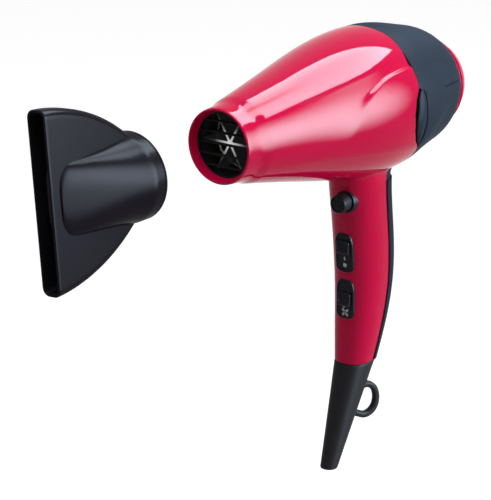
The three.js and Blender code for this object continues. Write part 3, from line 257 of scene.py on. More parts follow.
class Shell:
    """Collects grids of points into one mesh object."""

    def __init__(self) -> None:
        """Start with no points."""
        self.points: list[ndarray] = []
        self.faces: list[tuple[int, ...]] = []
        self.count = 0

    def add(
        self,
        grid: ndarray,
        closed: bool = False,
        flip: bool = False,
        drop: ndarray | None = None,
    ) -> "Shell":
        """Add a grid of points as quads.

        Args:
            grid: points in rows and columns.
            closed: whether the last column meets the first.
            flip: whether the faces look the other way from rows crossed with columns.
            drop: True for each face to leave out, in rows and columns of faces.

        Returns:
            This shell.
        """
        rows, columns = grid.shape[:2]
        index = self.count + np.arange(rows * columns).reshape(rows, columns)
        if closed:
            index = np.concatenate([index, index[:, :1]], axis=1)
        quads = np.stack([index[:-1, :-1], index[1:, :-1], index[1:, 1:], index[:-1, 1:]], axis=2)
        if flip:
            quads = quads[..., ::-1]
        quads = quads.reshape(-1, 4)
        if drop is not None:
            quads = quads[~drop.reshape(-1)]
        self.faces += [tuple(int(i) for i in quad) for quad in quads]
        self.points.append(grid.reshape(-1, 3))
        self.count += rows * columns
        return self

    def both(self, grid: ndarray, flip: bool = False) -> "Shell":
        """Add a grid and its mirror image across the parting plane."""
        self.add(grid, flip=flip)
        return self.add(grid * MIRROR, flip=not flip)

    def cap(self, ring: ndarray, flip: bool = False) -> "Shell":
        """Close a ring of points with one flat face.

        Args:
            ring: points in order.
            flip: whether the face looks the other way.

        Returns:
            This shell.
        """
        start = self.count
        order = range(start, start + len(ring))
        self.faces.append(tuple(reversed(order)) if flip else tuple(order))
        self.points.append(np.asarray(ring))
        self.count += len(ring)
        return self

    def build(
        self, name: str, finish: "Finish", body: str, *nodes: str, smooth: float = 40
    ) -> Object:
        """Make the object, weld it, dress it and let it ride on its body.

        Args:
            name: name of the piece.
            finish: its finish.
            body: CAD body that it moves with.
            nodes: CAD nodes that it stands for.
            smooth: faces that meet below this angle, in degrees, shade as one surface.

        Returns:
            The new object.
        """
        mesh = bpy.data.meshes.new(name)
        mesh.from_pydata(DATUM.place(np.concatenate(self.points)).tolist(), [], self.faces)
        working = bmesh.new()
        working.from_mesh(mesh)
        bmesh.ops.remove_doubles(working, verts=working.verts, dist=2e-6)
        working.to_mesh(mesh)
        working.free()
        piece = bpy.data.objects.new(name, mesh)
        bpy.context.scene.collection.objects.link(piece)
        mesh.shade_smooth()
        mesh.set_sharp_from_angle(angle=math.radians(smooth))
        return dress(piece, finish, body, *nodes)


def dress(piece: Object, finish: "Finish", body: str, *nodes: str) -> Object:
    """Give a piece its finish and its body.

    Args:
        piece: object in place in the row frame.
        finish: finish that it gets.
        body: CAD body that it moves with.
        nodes: CAD nodes that it stands for.

    Returns:
        The same piece.
    """
    piece.data.materials.append(finish.material())
    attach(piece, body)
    if nodes:
        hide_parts(*nodes)
    LOG.info("%s: %d faces", piece.name, len(piece.data.polygons))
    return piece


def turned_grid(profile: Sequence[tuple[float, float]], sides: int = 96) -> ndarray:
    """Grid of a body of revolution about X.

    Args:
        profile: x and radius of each point.
        sides: number of columns round the axis.

    Returns:
        Points with one row for each profile point, to be added as a closed grid.
    """
    turn = np.linspace(0, 2 * math.pi, sides, endpoint=False)
    y, z = np.sin(turn), np.cos(turn)
    return np.array([np.stack([np.full(sides, x), r * y, r * z], axis=1) for x, r in profile])


def filleted(
    corners: Sequence[tuple[float, float]], radii: Sequence[float], steps: int = 5
) -> list[tuple[float, float]]:
    """Round the corners of an open outline.

    Args:
        corners: points of the outline.
        radii: radius at each inner corner, 0 for a sharp one.
        steps: points on each arc.

    Returns:
        The outline with arcs, in order.
    """
    points = [tuple(corners[0])]
    for before, corner, after, radius in zip(corners, corners[1:], corners[2:], radii):
        a, c, b = (np.array(p, float) for p in (before, corner, after))
        u, v = (a - c) / np.linalg.norm(a - c), (b - c) / np.linalg.norm(b - c)
        if radius == 0:
            points.append(tuple(c))
            continue
        half = math.acos(np.clip(u @ v, -1, 1)) / 2
        reach = min(radius / math.tan(half), np.linalg.norm(a - c) / 2, np.linalg.norm(b - c) / 2)
        start, end = c + u * reach, c + v * reach
        for t in np.linspace(0, 1, steps):
            points.append(tuple(start * (1 - t) ** 2 + 2 * c * t * (1 - t) + end * t**2))
    return [*points, tuple(corners[-1])]


# ---------------------------------------------------------------- shader node groups
class Group:
    """Builder of one reusable shader node group."""

    def __init__(self, name: str) -> None:
        """Start an empty group.

        Args:
            name: name of the group.
        """
        self.tree = bpy.data.node_groups.new(name, "ShaderNodeTree")
        self.entry = self.tree.nodes.new("NodeGroupInput")
        self.exit = self.tree.nodes.new("NodeGroupOutput")

    def takes(self, name: str, kind: str, value: object) -> NodeSocket:
        """Add an input with its plain value and return its socket inside the group."""
        self.tree.interface.new_socket(name, in_out="INPUT", socket_type=kind).default_value = value
        return self.entry.outputs[name]

    def gives(self, name: str, kind: str, source: NodeSocket) -> "Group":
        """Add an output.

        Args:
            name: its name.
            kind: Blender's name for its socket.
            source: socket that feeds it.

        Returns:
            This group.
        """
        self.tree.interface.new_socket(name, in_out="OUTPUT", socket_type=kind)
        self.tree.links.new(source, self.exit.inputs[name])
        return self

    def node(
        self, kind: str, inputs: dict[str | int, object] | None = None, **settings: object
    ) -> Node:
        """Add a node, set its properties and feed its inputs.

        Args:
            kind: Blender's name for the node.
            inputs: socket name or number, with a plain value or the socket that feeds it.
            settings: properties of the node.

        Returns:
            The new node.
        """
        return add_node(self.tree, kind, inputs, **settings)


def add_node(
    tree: NodeTree,
    kind: str,
    inputs: dict[str | int, object] | None = None,
    **settings: object,
) -> Node:
    """Add a node to a tree, set its properties and feed its inputs.

    Args:
        tree: tree that gets the node.
        kind: Blender's name for the node.
        inputs: socket name or number, with a plain value or the socket that feeds it.
        settings: properties of the node.

    Returns:
        The new node.
    """
    node = tree.nodes.new(kind)
    for key, value in settings.items():
        setattr(node, key, value)
    return feed(node, inputs or {})


def feed(node: Node, inputs: dict[str | int, object]) -> Node:
    """Feed the inputs of a node.

    Args:
        node: node in its tree.
        inputs: socket name or number, with a plain value or the socket that feeds it.

    Returns:
        The same node.
    """
    for key, value in inputs.items():
        if isinstance(value, NodeSocket):
            node.id_data.links.new(value, node.inputs[key])
        else:
            node.inputs[key].default_value = value
    return node


def rgba(colour: Colour) -> tuple[float, float, float, float]:
    """Add a full alpha to a colour."""
    return (*colour, 1.0)


def flake_group() -> NodeTree:
    """Metal flake under lacquer: small cells that tip the normal, and a painted highlight that lifts
    the colour of the brighter cells a little.

    Returns:
        The group, which gives Colour and Height.
    """
    group = Group("lacquer_flake")
    size = group.takes("Flakes per Metre", "NodeSocketFloat", 9000.0)
    colour = group.takes("Colour", "NodeSocketColor", (0.6, 0, 0.05, 1))
    painted_glint = group.takes("Painted Glint", "NodeSocketFloat", 0.05)
    place = group.node("ShaderNodeTexCoord")
    cells = group.node("ShaderNodeTexVoronoi", {"Vector": place.outputs["Object"], "Scale": size})
    tone = group.node("ShaderNodeSeparateColor", {0: cells.outputs["Color"]})
    # painted highlight: the brighter cells mix the colour towards a pale rose
    share = group.node("ShaderNodeMath", {0: tone.outputs[0], 1: painted_glint}, operation="MULTIPLY")
    rosy = (1, 0.1, 0.25, 1)
    highlighted = group.node("ShaderNodeMix", {0: share.outputs[0], 6: colour, 7: rosy}, data_type="RGBA")
    group.gives("Colour", "NodeSocketColor", highlighted.outputs[2])
    return group.gives("Height", "NodeSocketFloat", tone.outputs[1]).tree


def grain_group() -> NodeTree:
    """Fine moulded grain with slow changes of gloss, for plastics.

    Returns:
        The group, which gives Colour, Roughness and Height.
    """
    group = Group("moulded_grain")
    size = group.takes("Grains per Metre", "NodeSocketFloat", 2500.0)
    colour = group.takes("Colour", "NodeSocketColor", (0.05, 0.05, 0.05, 1))
    rough = group.takes("Roughness", "NodeSocketFloat", 0.5)
    vary = group.takes("Variation", "NodeSocketFloat", 0.08)
    place = group.node("ShaderNodeTexCoord")
    where = place.outputs["Object"]
    grain = group.node("ShaderNodeTexNoise", {"Vector": where, "Scale": size, "Detail": 3.0})
    cloud = group.node("ShaderNodeTexNoise", {"Vector": where, "Scale": 40.0, "Detail": 2.0})
    swing = group.node("ShaderNodeMath", {0: cloud.outputs[0], 1: 0.5}, operation="SUBTRACT")
    change = group.node("ShaderNodeMath", {0: swing.outputs[0], 1: vary}, operation="MULTIPLY")
    gloss = group.node("ShaderNodeMath", {0: rough, 1: change.outputs[0]}, operation="ADD")
    shade = group.node("ShaderNodeMath", {0: change.outputs[0], 1: 1.0}, operation="ADD")
    tone = group.node("ShaderNodeVectorMath", {0: colour, 3: shade.outputs[0]}, operation="SCALE")
    group.gives("Colour", "NodeSocketColor", tone.outputs[0])
    group.gives("Roughness", "NodeSocketFloat", gloss.outputs[0])
    return group.gives("Height", "NodeSocketFloat", grain.outputs[0]).tree


def brushed_group() -> NodeTree:
    """Drawn or turned metal: fine lines along one axis that vary colour and gloss.

    Returns:
        The group, which gives Colour, Roughness and Height.
    """
    group = Group("drawn_metal")
    stretch = group.takes("Stretch", "NodeSocketVector", (40.0, 1500.0, 1500.0))
    colour = group.takes("Colour", "NodeSocketColor", (0.6, 0.6, 0.6, 1))
    dark = group.takes("Line Colour", "NodeSocketColor", (0.4, 0.4, 0.4, 1))
    rough = group.takes("Roughness", "NodeSocketFloat", 0.3)
    place = group.node("ShaderNodeTexCoord")
    pair = {0: place.outputs["Object"], 1: stretch}
    scaled = group.node("ShaderNodeVectorMath", pair, operation="MULTIPLY")
    drawn = {"Vector": scaled.outputs[0], "Scale": 1.0, "Detail": 4.0}
    lines = group.node("ShaderNodeTexNoise", drawn)
    tone = group.node("ShaderNodeMix", {0: lines.outputs[0], 6: colour, 7: dark}, data_type="RGBA")
    swing = {0: lines.outputs[0], 1: 0.2, 2: rough}
    change = group.node("ShaderNodeMath", swing, operation="MULTIPLY_ADD")
    group.gives("Colour", "NodeSocketColor", tone.outputs[2])
    group.gives("Roughness", "NodeSocketFloat", change.outputs[0])
    return group.gives("Height", "NodeSocketFloat", lines.outputs[0]).tree


def weave_group() -> NodeTree:
    """Woven wire: two crossed waves across the barrel's axis.

    Returns:
        The group, which gives Colour and Height.
    """
    group = Group("woven_wire")
    pitch = group.takes("Wires per Metre", "NodeSocketFloat", 900.0)
    wire = group.takes("Wire Colour", "NodeSocketColor", (0.3, 0.3, 0.3, 1))
    hole = group.takes("Hole Colour", "NodeSocketColor", (0.01, 0.01, 0.01, 1))
    place = group.node("ShaderNodeTexCoord")
    axes = group.node("ShaderNodeSeparateXYZ", {0: place.outputs["Object"]})
    waves = []
    for axis in (1, 2):
        turn = group.node("ShaderNodeMath", {0: axes.outputs[axis], 1: pitch}, operation="MULTIPLY")
        radians = {0: turn.outputs[0], 1: 2 * math.pi}
        full = group.node("ShaderNodeMath", radians, operation="MULTIPLY")
        waves.append(group.node("ShaderNodeMath", {0: full.outputs[0]}, operation="SINE"))
    crossed = {0: waves[0].outputs[0], 1: waves[1].outputs[0]}
    high = group.node("ShaderNodeMath", crossed, operation="MAXIMUM")
    mask = group.node("ShaderNodeMapRange", {0: high.outputs[0], 1: 0.1, 2: 0.5})
    tone = group.node("ShaderNodeMix", {0: mask.outputs[0], 6: hole, 7: wire}, data_type="RGBA")
    group.gives("Colour", "NodeSocketColor", tone.outputs[2])
    return group.gives("Height", "NodeSocketFloat", mask.outputs[0]).tree


def sheen_group() -> NodeTree:
    """Mica sheet: its pale colour on the front faces near the barrel's axis, painted shade on the
    sheets' sides and farther out, with flaky layers.

    Returns:
        The group, which gives Colour and Height.
    """
    group = Group("mica_sheet")
    bright = group.takes("Middle Colour", "NodeSocketColor", (0.9, 0.9, 0.88, 1))
    painted_shade = group.takes("Painted Shade Colour", "NodeSocketColor", (0.2, 0.2, 0.2, 1))
    axis = group.takes("Axis Height", "NodeSocketFloat", 0.2)
    inner = group.takes("Inner Radius", "NodeSocketFloat", 0.004)
    outer = group.takes("Outer Radius", "NodeSocketFloat", 0.014)
    front = group.takes("Front Station", "NodeSocketFloat", 0.0)
    place = group.node("ShaderNodeTexCoord")
    axes = group.node("ShaderNodeSeparateXYZ", {0: place.outputs["Object"]})
    height = group.node("ShaderNodeMath", {0: axes.outputs[2], 1: axis}, operation="SUBTRACT")
    across = group.node("ShaderNodeCombineXYZ", {0: axes.outputs[1], 1: height.outputs[0]})
    reach = group.node("ShaderNodeVectorMath", {0: across.outputs[0]}, operation="LENGTH")
    fine = {"Vector": place.outputs["Object"], "Scale": 700.0, "Detail": 4.0}
    flakes = group.node("ShaderNodeTexNoise", fine)
    wander = {0: flakes.outputs[0], 1: 0.003, 2: reach.outputs["Value"]}
    swing = group.node("ShaderNodeMath", wander, operation="MULTIPLY_ADD")
    # painted shade: darker with distance from the axis, from the inner to the outer radius
    share = group.node("ShaderNodeMapRange", {0: swing.outputs[0], 1: inner, 2: outer})
    # painted shade on the sheets' sides, behind their front faces
    behind = group.node("ShaderNodeMath", {0: axes.outputs[0], 1: front}, operation="SUBTRACT")
    side = group.node("ShaderNodeMapRange", {0: behind.outputs[0], 1: 0.00005, 2: 0.00025})
    either = {0: share.outputs[0], 1: side.outputs[0]}
    dark = group.node("ShaderNodeMath", either, operation="MAXIMUM")
    ends = {0: dark.outputs[0], 6: bright, 7: painted_shade}
    tone = group.node("ShaderNodeMix", ends, data_type="RGBA")
    group.gives("Colour", "NodeSocketColor", tone.outputs[2])
    return group.gives("Height", "NodeSocketFloat", flakes.outputs[0]).tree


GROUPS: dict[str, NodeTree] = {}


def placed(tree: NodeTree, make: Callable[[], NodeTree], inputs: dict[str | int, object]) -> Node:
    """Place a node group in a material.

    Args:
        tree: material's tree.
        make: function that makes the group, called on first use.
        inputs: the material's own values.

    Returns:
        The group's node.
    """
    if make.__name__ not in GROUPS:
        GROUPS[make.__name__] = make()
    return add_node(tree, "ShaderNodeGroup", inputs, node_tree=GROUPS[make.__name__])


# ---------------------------------------------------------------- finishes
MADE: dict[str, Material] = {}


@dataclass(frozen=True)
class Finish:
    """Plain part of every finish: its name, its slot in the record and its even values."""

    name: str
    slot: str
    colour: Colour
    rough: float = 0.5
    bump: float = 0.05  # strength of the fine relief
    grain: float = 0.02  # height of the fine relief in millimetres

    def material(self) -> Material:
        """Give the finish's one material.

        Returns:
            The material, made on first use.
        """
        if self.name not in MADE:
            made = bpy.data.materials.new(self.name)
            made.use_nodes = True
            shader = made.node_tree.nodes["Principled BSDF"]
            self.shade(made.node_tree, shader)
            MADE[self.name] = made
        return MADE[self.name]

    def shade(self, tree: NodeTree, shader: Node) -> None:
        """Feed the shader. Each kind of finish has its own way.

        Args:
            tree: material's tree.
            shader: its Principled shader.
        """
        raise NotImplementedError

    def relief(
        self, tree: NodeTree, shader: Node, height: NodeSocket
    ) -> None:
        """Join a height to the shader's normal.

        Args:
            tree: material's tree.
            shader: its Principled shader.
            height: socket with the height, from 0 to 1.
        """
        fine = {"Strength": self.bump, "Distance": self.grain * MM, "Height": height}
        feed(shader, {"Normal": add_node(tree, "ShaderNodeBump", fine).outputs[0]})

    @staticmethod
    def coated(shader: Node, weight: float, rough: float) -> None:
        """Carry the gloss in a clear coat, over a base that has none of its own.

        Args:
            shader: Principled shader.
            weight: weight of the coat.
            rough: roughness of the coat.
        """
        coat = {"Coat Weight": weight, "Coat IOR": COAT_IOR, "Coat Roughness": rough}
        feed(shader, {"Specular IOR Level": 0.0, **coat})


@dataclass(frozen=True)
class Lacquer(Finish):
    """Pearl colour under a clear gloss coat."""

    coat: float = 1.0
    coat_rough: float = 0.04

    def shade(self, tree: NodeTree, shader: Node) -> None:
        """Flake under a clear coat.

        Args:
            tree: material's tree.
            shader: its Principled shader.
        """
        flake = placed(tree, flake_group, {"Colour": rgba(self.colour)})
        feed(shader, {"Base Color": flake.outputs["Colour"], "Roughness": self.rough})
        self.coated(shader, self.coat, self.coat_rough)
        self.relief(tree, shader, flake.outputs["Height"])


@dataclass(frozen=True)
class Moulded(Finish):
    """Plastic with a fine moulded grain."""

    grains: float = 2500.0
    variation: float = 0.08
    gloss: float = 0.5  # weight of the coat that carries the surface's own gloss

    def shade(self, tree: NodeTree, shader: Node) -> None:
        """Grain over an even colour.

        Args:
            tree: material's tree.
            shader: its Principled shader.
        """
        grain = placed(tree, grain_group, {
            "Grains per Metre": self.grains, "Colour": rgba(self.colour), "Roughness": self.rough,
            "Variation": self.variation,
        })
        feed(shader, {"Base Color": grain.outputs["Colour"], "Roughness": grain.outputs["Roughness"]})
        self.coated(shader, self.gloss, self.rough)
        self.relief(tree, shader, grain.outputs["Height"])


@dataclass(frozen=True)
class Metal(Finish):
    """Drawn, rolled or turned metal."""

    line: Colour = (0.3, 0.3, 0.3)
    stretch: Colour = (40.0, 1500.0, 1500.0)
    metal: float = 1.0

    def shade(self, tree: NodeTree, shader: Node) -> None:
        """Lines along the way the metal was worked.

        Args:
            tree: material's tree.
            shader: its Principled shader.
        """
        lines = placed(tree, brushed_group, {
            "Stretch": self.stretch, "Colour": rgba(self.colour), "Line Colour": rgba(self.line),
            "Roughness": self.rough,
        })
        feed(shader, {"Base Color": lines.outputs["Colour"], "Roughness": lines.outputs["Roughness"]})
        feed(shader, {"Metallic": self.metal})
        self.relief(tree, shader, lines.outputs["Height"])


@dataclass(frozen=True)
class Screen(Finish):
    """Woven wire cloth."""

    hole: Colour = (0.01, 0.01, 0.01)
    metal: float = 0.6

    def shade(self, tree: NodeTree, shader: Node) -> None:
        """Crossed wires over dark holes.

        Args:
            tree: material's tree.
            shader: its Principled shader.
        """
        colours = {"Wire Colour": rgba(self.colour), "Hole Colour": rgba(self.hole)}
        weave = placed(tree, weave_group, colours)
        feed(shader, {"Base Color": weave.outputs["Colour"], "Roughness": self.rough})
        feed(shader, {"Metallic": self.metal})
        self.relief(tree, shader, weave.outputs["Height"])


@dataclass(frozen=True)
class Mica(Finish):
    """Mica sheet of the heater's frame, with painted shade and, where set, a painted glow."""

    # colour of the painted shade, away from the axis and on the sheets' sides
    edge: Colour = (0.1, 0.1, 0.1)
    # radii in millimetres over which the pale colour turns into the painted shade
    inner: float = 4.0
    outer: float = 14.0
    metal: float = 0.0
    glow: float = 0.0  # painted glow: light that the front faces give off though they are no lamp, as a share of the colour
    node: str = "mica_frame"  # solid whose front faces keep the pale colour and the painted glow

    def shade(self, tree: NodeTree, shader: Node) -> None:
        """Pale middle, painted shade farther out and on the sides, and a painted glow where set.

        Args:
            tree: material's tree.
            shader: its Principled shader.
        """
        sheet = placed(tree, sheen_group, {
            "Middle Colour": rgba(self.colour), "Painted Shade Colour": rgba(self.edge),
            "Axis Height": DATUM.axis_z, "Inner Radius": self.inner * MM,
            "Outer Radius": self.outer * MM, "Front Station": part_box(self.node)[0].x,
        })
        colour = sheet.outputs["Colour"]
        feed(shader, {"Base Color": colour, "Roughness": self.rough, "Metallic": self.metal})
        # painted glow: the sheet gives off light though it is no lamp
        if self.glow:
            feed(shader, {"Emission Color": colour, "Emission Strength": self.glow})
        self.relief(tree, shader, sheet.outputs["Height"])


CRIMSON = Lacquer(
    "crimson_lacquer", "housing_red", (0.76, 0.0, 0.07), rough=0.5, bump=0.12, grain=0.01
)
SOFT_GREY = Moulded(
    "soft_grey", "soft_grey", (0.025, 0.036, 0.056), rough=0.5, bump=0.25, grain=0.02, gloss=0.33
)
# darker copy of the hood's soft grey: painted shade on the back of the handle
SHADED_STRIP_GREY = Moulded(
    "strip_grey_painted_shade", "soft_grey", (0.019, 0.025, 0.036), rough=0.5, bump=0.25, grain=0.02, gloss=0.33
)
SATIN = Moulded(
    "satin_black", "black_satin", (0.021, 0.022, 0.03), rough=0.3, bump=0.3, grain=0.02, gloss=0.9
)
NOZZLE_SATIN = Moulded(
    "nozzle_satin", "black_satin", (0.0165, 0.0145, 0.021), rough=0.2, bump=0.3, gloss=0.3
)
GUARD_RUBBER = Moulded(
    "guard_rubber", "black_satin", (0.03, 0.03, 0.034), rough=0.45, bump=0.3, grain=0.03, gloss=0.6
)
MATT = Moulded("matt_black", "black_matt", (0.012, 0.012, 0.013), rough=0.6, bump=0.3, grain=0.03)
GRILLE_GREY = Moulded(
    "grille_grey", "black_matt", (0.02, 0.02, 0.021), rough=0.5, bump=0.2, grain=0.02
)
WHITE_PRINT = Moulded(
    "white_print", "white_nylon", (0.8, 0.8, 0.8), rough=0.6, bump=0.1, grain=0.01
)
NYLON = Moulded("white_nylon", "white_nylon", (0.72, 0.7, 0.64), rough=0.5, bump=0.2, grain=0.03)
STEEL = Metal("steel", "steel", (0.62, 0.62, 0.64), rough=0.28, line=(0.42, 0.42, 0.44))
NICHROME = Metal(
    "heating_wire", "heating_wire", (0.42, 0.38, 0.35), rough=0.35, line=(0.2, 0.17, 0.16)
)
COPPER = Metal("copper", "copper", (0.78, 0.42, 0.26), rough=0.3, line=(0.5, 0.22, 0.12))
FERRITE = Metal(
    "ferrite", "ferrite", (0.06, 0.06, 0.065), rough=0.55, line=(0.03, 0.03, 0.03), metal=0.2
)
GRAPHITE = Metal(
    "graphite", "graphite", (0.05, 0.05, 0.05), rough=0.45, line=(0.02, 0.02, 0.02), metal=0.3
)
# near black on a silver heat shield: painted shade inside the barrel
SHADED_SHIELD = Mica(
    "mica_liner_painted_shade", "heat_silver", (0.02, 0.018, 0.016), rough=0.7, edge=(0.015, 0.014, 0.013),
    node="heat_shield",
)
# white mica with a painted glow on its front faces and painted shade farther out
MICA = Mica(
    "mica_frame", "mica", (0.95, 0.95, 0.95), rough=0.35, edge=(0.01, 0.01, 0.01), inner=2.0,
    outer=12.5, glow=0.5,
)
MESH = Screen("filter_mesh", "steel", (0.35, 0.35, 0.36), rough=0.4, bump=0.6, grain=0.2)


# ---------------------------------------------------------------- barrel
@dataclass
class BarrelForm:
    """Outer form of the barrel: a turned body with pressed creases along its sides."""

    step_x: float = 17.4  # where the neck ends
    hood_end_x: float = 212.0
    length: float = 237.0
    drop: float = 2.0  # that the axis sinks towards the tail
    neck: tuple[tuple[float, float], ...] = (
        (8.2, 19.4), (5.0, 19.6), (2.6, 20.4), (0.7, 21.1), (0.2, 21.35), (0.0, 21.75), (0.2, 22.2),
        (0.7, 22.5), (1.4, 22.62), (3.0, 22.8), (5.0, 23.0), (7.0, 23.2), (9.0, 23.42), (10.5, 23.62),
        (11.5, 23.8), (12.5, 24.04), (13.5, 24.32), (14.5, 24.63), (15.5, 24.94), (16.5, 25.24),
        (17.1, 25.41),
    )  # lip, rim and neck as x and radius
    flare: Curve = Curve(
        (17.2, 25.5), (60, 34.2), (105, 43.4), (140, 46.9), (165.2, 45.1), (185, 41.3), (200.1, 37.5),
        (212, 30.6),
    )
    dome: Curve = Curve((212, 30.6), (224.5, 25.3), (237, 10))
    upper_crease: Curve = Curve(
        (17, 16.2), (23, 17), (47, 20), (87, 26), (112, 30), (134, 34), (155, 36)
    )
    second_crease: Curve = Curve(
        (17, 3), (55, 7), (75, 11), (93, 18), (115, 25.6), (135.6, 28), (155, 29)
    )
    lower_line: Curve = Curve(
        (17, -12), (42.5, -14), (77, -16.4), (107, -19), (144, -23), (155, -24)
    )
    slit: float = 8.5  # height of the latch slit
    seam: Curve = Curve((120, 29), (153, 28), (165, 26), (178, 24), (192, 21), (203, 18), (212, 15))
    bevel: Curve = Curve(
        (140, -31), (152, -23), (161.6, -15), (168, -10), (176, -4), (188.5, 1.5), (203, 3.5),
        (212, 4.2),
    )
    red_edge: tuple[tuple[float, float], ...] = (
        (0, 142.6), (12, 142.8), (22, 143.7), (29, 143.5), (34, 142.7), (39, 141.8), (46, 141.4),
        (61.8, 141), (69.5, 141), (73, 140.2), (80.1, 136), (91.2, 134), (103.7, 136), (113.4, 140),
        (120.3, 146), (126, 149.5), (133.4, 151), (154.3, 152), (180, 152),
    )  # end of the red shell, as degrees from the top and x
    leaf_back: tuple[tuple[float, float], ...] = (
        (73, 144.2), (76, 147.4), (80.2, 150), (91.2, 151.5), (97.3, 152.1), (103.6, 152.3),
        (112, 151.4), (121.5, 148.8),
    )  # rear and front edge of a leaf, in the same way
    leaf_front: tuple[tuple[float, float], ...] = (
        (73, 144), (76, 141.2), (81, 139.3), (96.1, 138), (107, 139.8), (114, 142.6), (121.5, 148.6),
    )

    def axis_drop(self, x: ndarray) -> ndarray:
        """How far the axis has sunk at x."""
        return self.drop * smoothstep(150, self.length, x)

    def edge(self, points: Sequence[tuple[float, float]], turn: ndarray) -> ndarray:
        """Station of an edge line at an angle.

        Args:
            points: corner points of the line, as degrees from the top and x.
            turn: angles in radians.

        Returns:
            The stations, with the corners eased.
        """
        fine = np.linspace(-10, 190, 1601)
        raw = np.interp(np.abs(fine), *zip(*points))
        weight = np.hanning(19)
        eased = np.convolve(np.pad(raw, 9, mode="edge"), weight / weight.sum(), mode="valid")
        return np.interp(np.degrees(turn), fine, eased)

    def radius(self, x: ndarray | float) -> ndarray:
        """Radius of the turned body: shells up to the hood's end, then the cover's dome."""
        return np.where(np.asarray(x) <= self.hood_end_x, self.flare(x), self.dome(x))

    def angle(self, x: ndarray, height: Curve) -> ndarray:
        """Angle from the top at which the barrel has that height."""
        return np.arccos(np.clip(height(x) / self.flare(x), -1, 1))

    def relief(self, x: ndarray, turn: ndarray) -> ndarray:
        """Depth of the pressed side below the turned body.

        Args:
            x: stations.
            turn: angles in radians from the top.

        Returns:
            Depth in millimetres, negative where the skin stands proud.
        """
        radius = self.flare(x)
        first = radius * (turn - self.angle(x, self.upper_crease))
        second = radius * (turn - self.angle(x, self.second_crease))
        third = radius * (turn - self.angle(x, self.lower_line))
        depth = 1.5 * smoothstep(22, 112, x) * (1 - np.exp(-np.maximum(first, 0) / 5))
        run = np.interp(x, [17, 75, 93, 112, 150], [36, 22, 7, 2.6, 2.2])
        depth = depth * (1 - smoothstep(0, 1, second / run))
        grooves = np.exp(-((first / 0.5) ** 2)) + np.exp(-((third / 0.5) ** 2))
        depth = depth + 0.14 * smoothstep(30, 60, x) * grooves
        above, below = np.exp(np.minimum(third, 0) / 12), np.exp(-np.maximum(third, 0) / 5)
        return depth - 0.8 * smoothstep(20, 60, x) * np.where(third < 0, above, below)

    def hood_relief(self, x: ndarray, turn: ndarray) -> ndarray:
        """Depth of the hood's seam, latch slit and rear bevel below the turned body.

        Args:
            x: stations.
            turn: angles in radians from the top.

        Returns:
            Depth in millimetres.
        """
        radius = self.flare(x)
        above = radius * (self.angle(x, self.seam) - turn)
        slit = radius * (turn - np.arccos(np.clip(self.slit / radius, -1, 1)))
        below = radius * (turn - self.angle(x, self.bevel))
        seam = 0.35 * np.exp(-((above / 0.45) ** 2)) - 0.3 * smoothstep(-0.5, 0.5, above)
        depth = seam * smoothstep(148, 156, x)
        depth = depth + 1.1 * np.exp(-((slit / 0.55) ** 2)) * smoothstep(172, 176, x)
        return depth + 1.3 * (1 - np.exp(-np.maximum(below, 0) / 7)) * smoothstep(150, 172, x)

    def point(self, x: ndarray, turn: ndarray, depth: ndarray | float = 0.0) -> ndarray:
        """Points on the barrel.

        Args:
            x: stations.
            turn: angles in radians from the top towards -Y.
            depth: depth below the turned body.

        Returns:
            Array of x, y, z in millimetres.
        """
        radius = self.radius(x) - depth
        z = radius * np.cos(turn) - self.axis_drop(x)
        return np.stack([x, -radius * np.sin(turn), z], axis=-1)

    def columns(self, x: ndarray, lines: Sequence[Curve], counts: Sequence[int]) -> ndarray:
        """Angles of the columns, which follow the crease lines and gather beside them.

        Args:
            x: station of each column point.
            lines: height of each crease, from the top down.
            counts: columns in each stretch between them.

        Returns:
            Angle of each column point in radians.
        """
        creases = [self.angle(x, line) for line in lines]
        anchors = [np.zeros_like(x), *creases, np.full_like(x, math.pi)]
        turn = np.empty_like(x)
        start = 0
        for low, high, count in zip(anchors, anchors[1:], counts):
            share = np.linspace(0, 1, count + 1)
            share = 0.4 * share + 0.6 * (1 - np.cos(math.pi * share)) / 2
            place = slice(start, start + count + 1)
            turn[:, place] = low[:, place] * (1 - share) + high[:, place] * share
            start += count
        return turn

    def underside(self, x: ndarray, y: ndarray) -> ndarray:
        """Height of the barrel's lower skin above a place in x and y."""
        return -np.sqrt(np.maximum(self.flare(x) ** 2 - y**2, 1)) - self.axis_drop(x)


BARREL = BarrelForm()


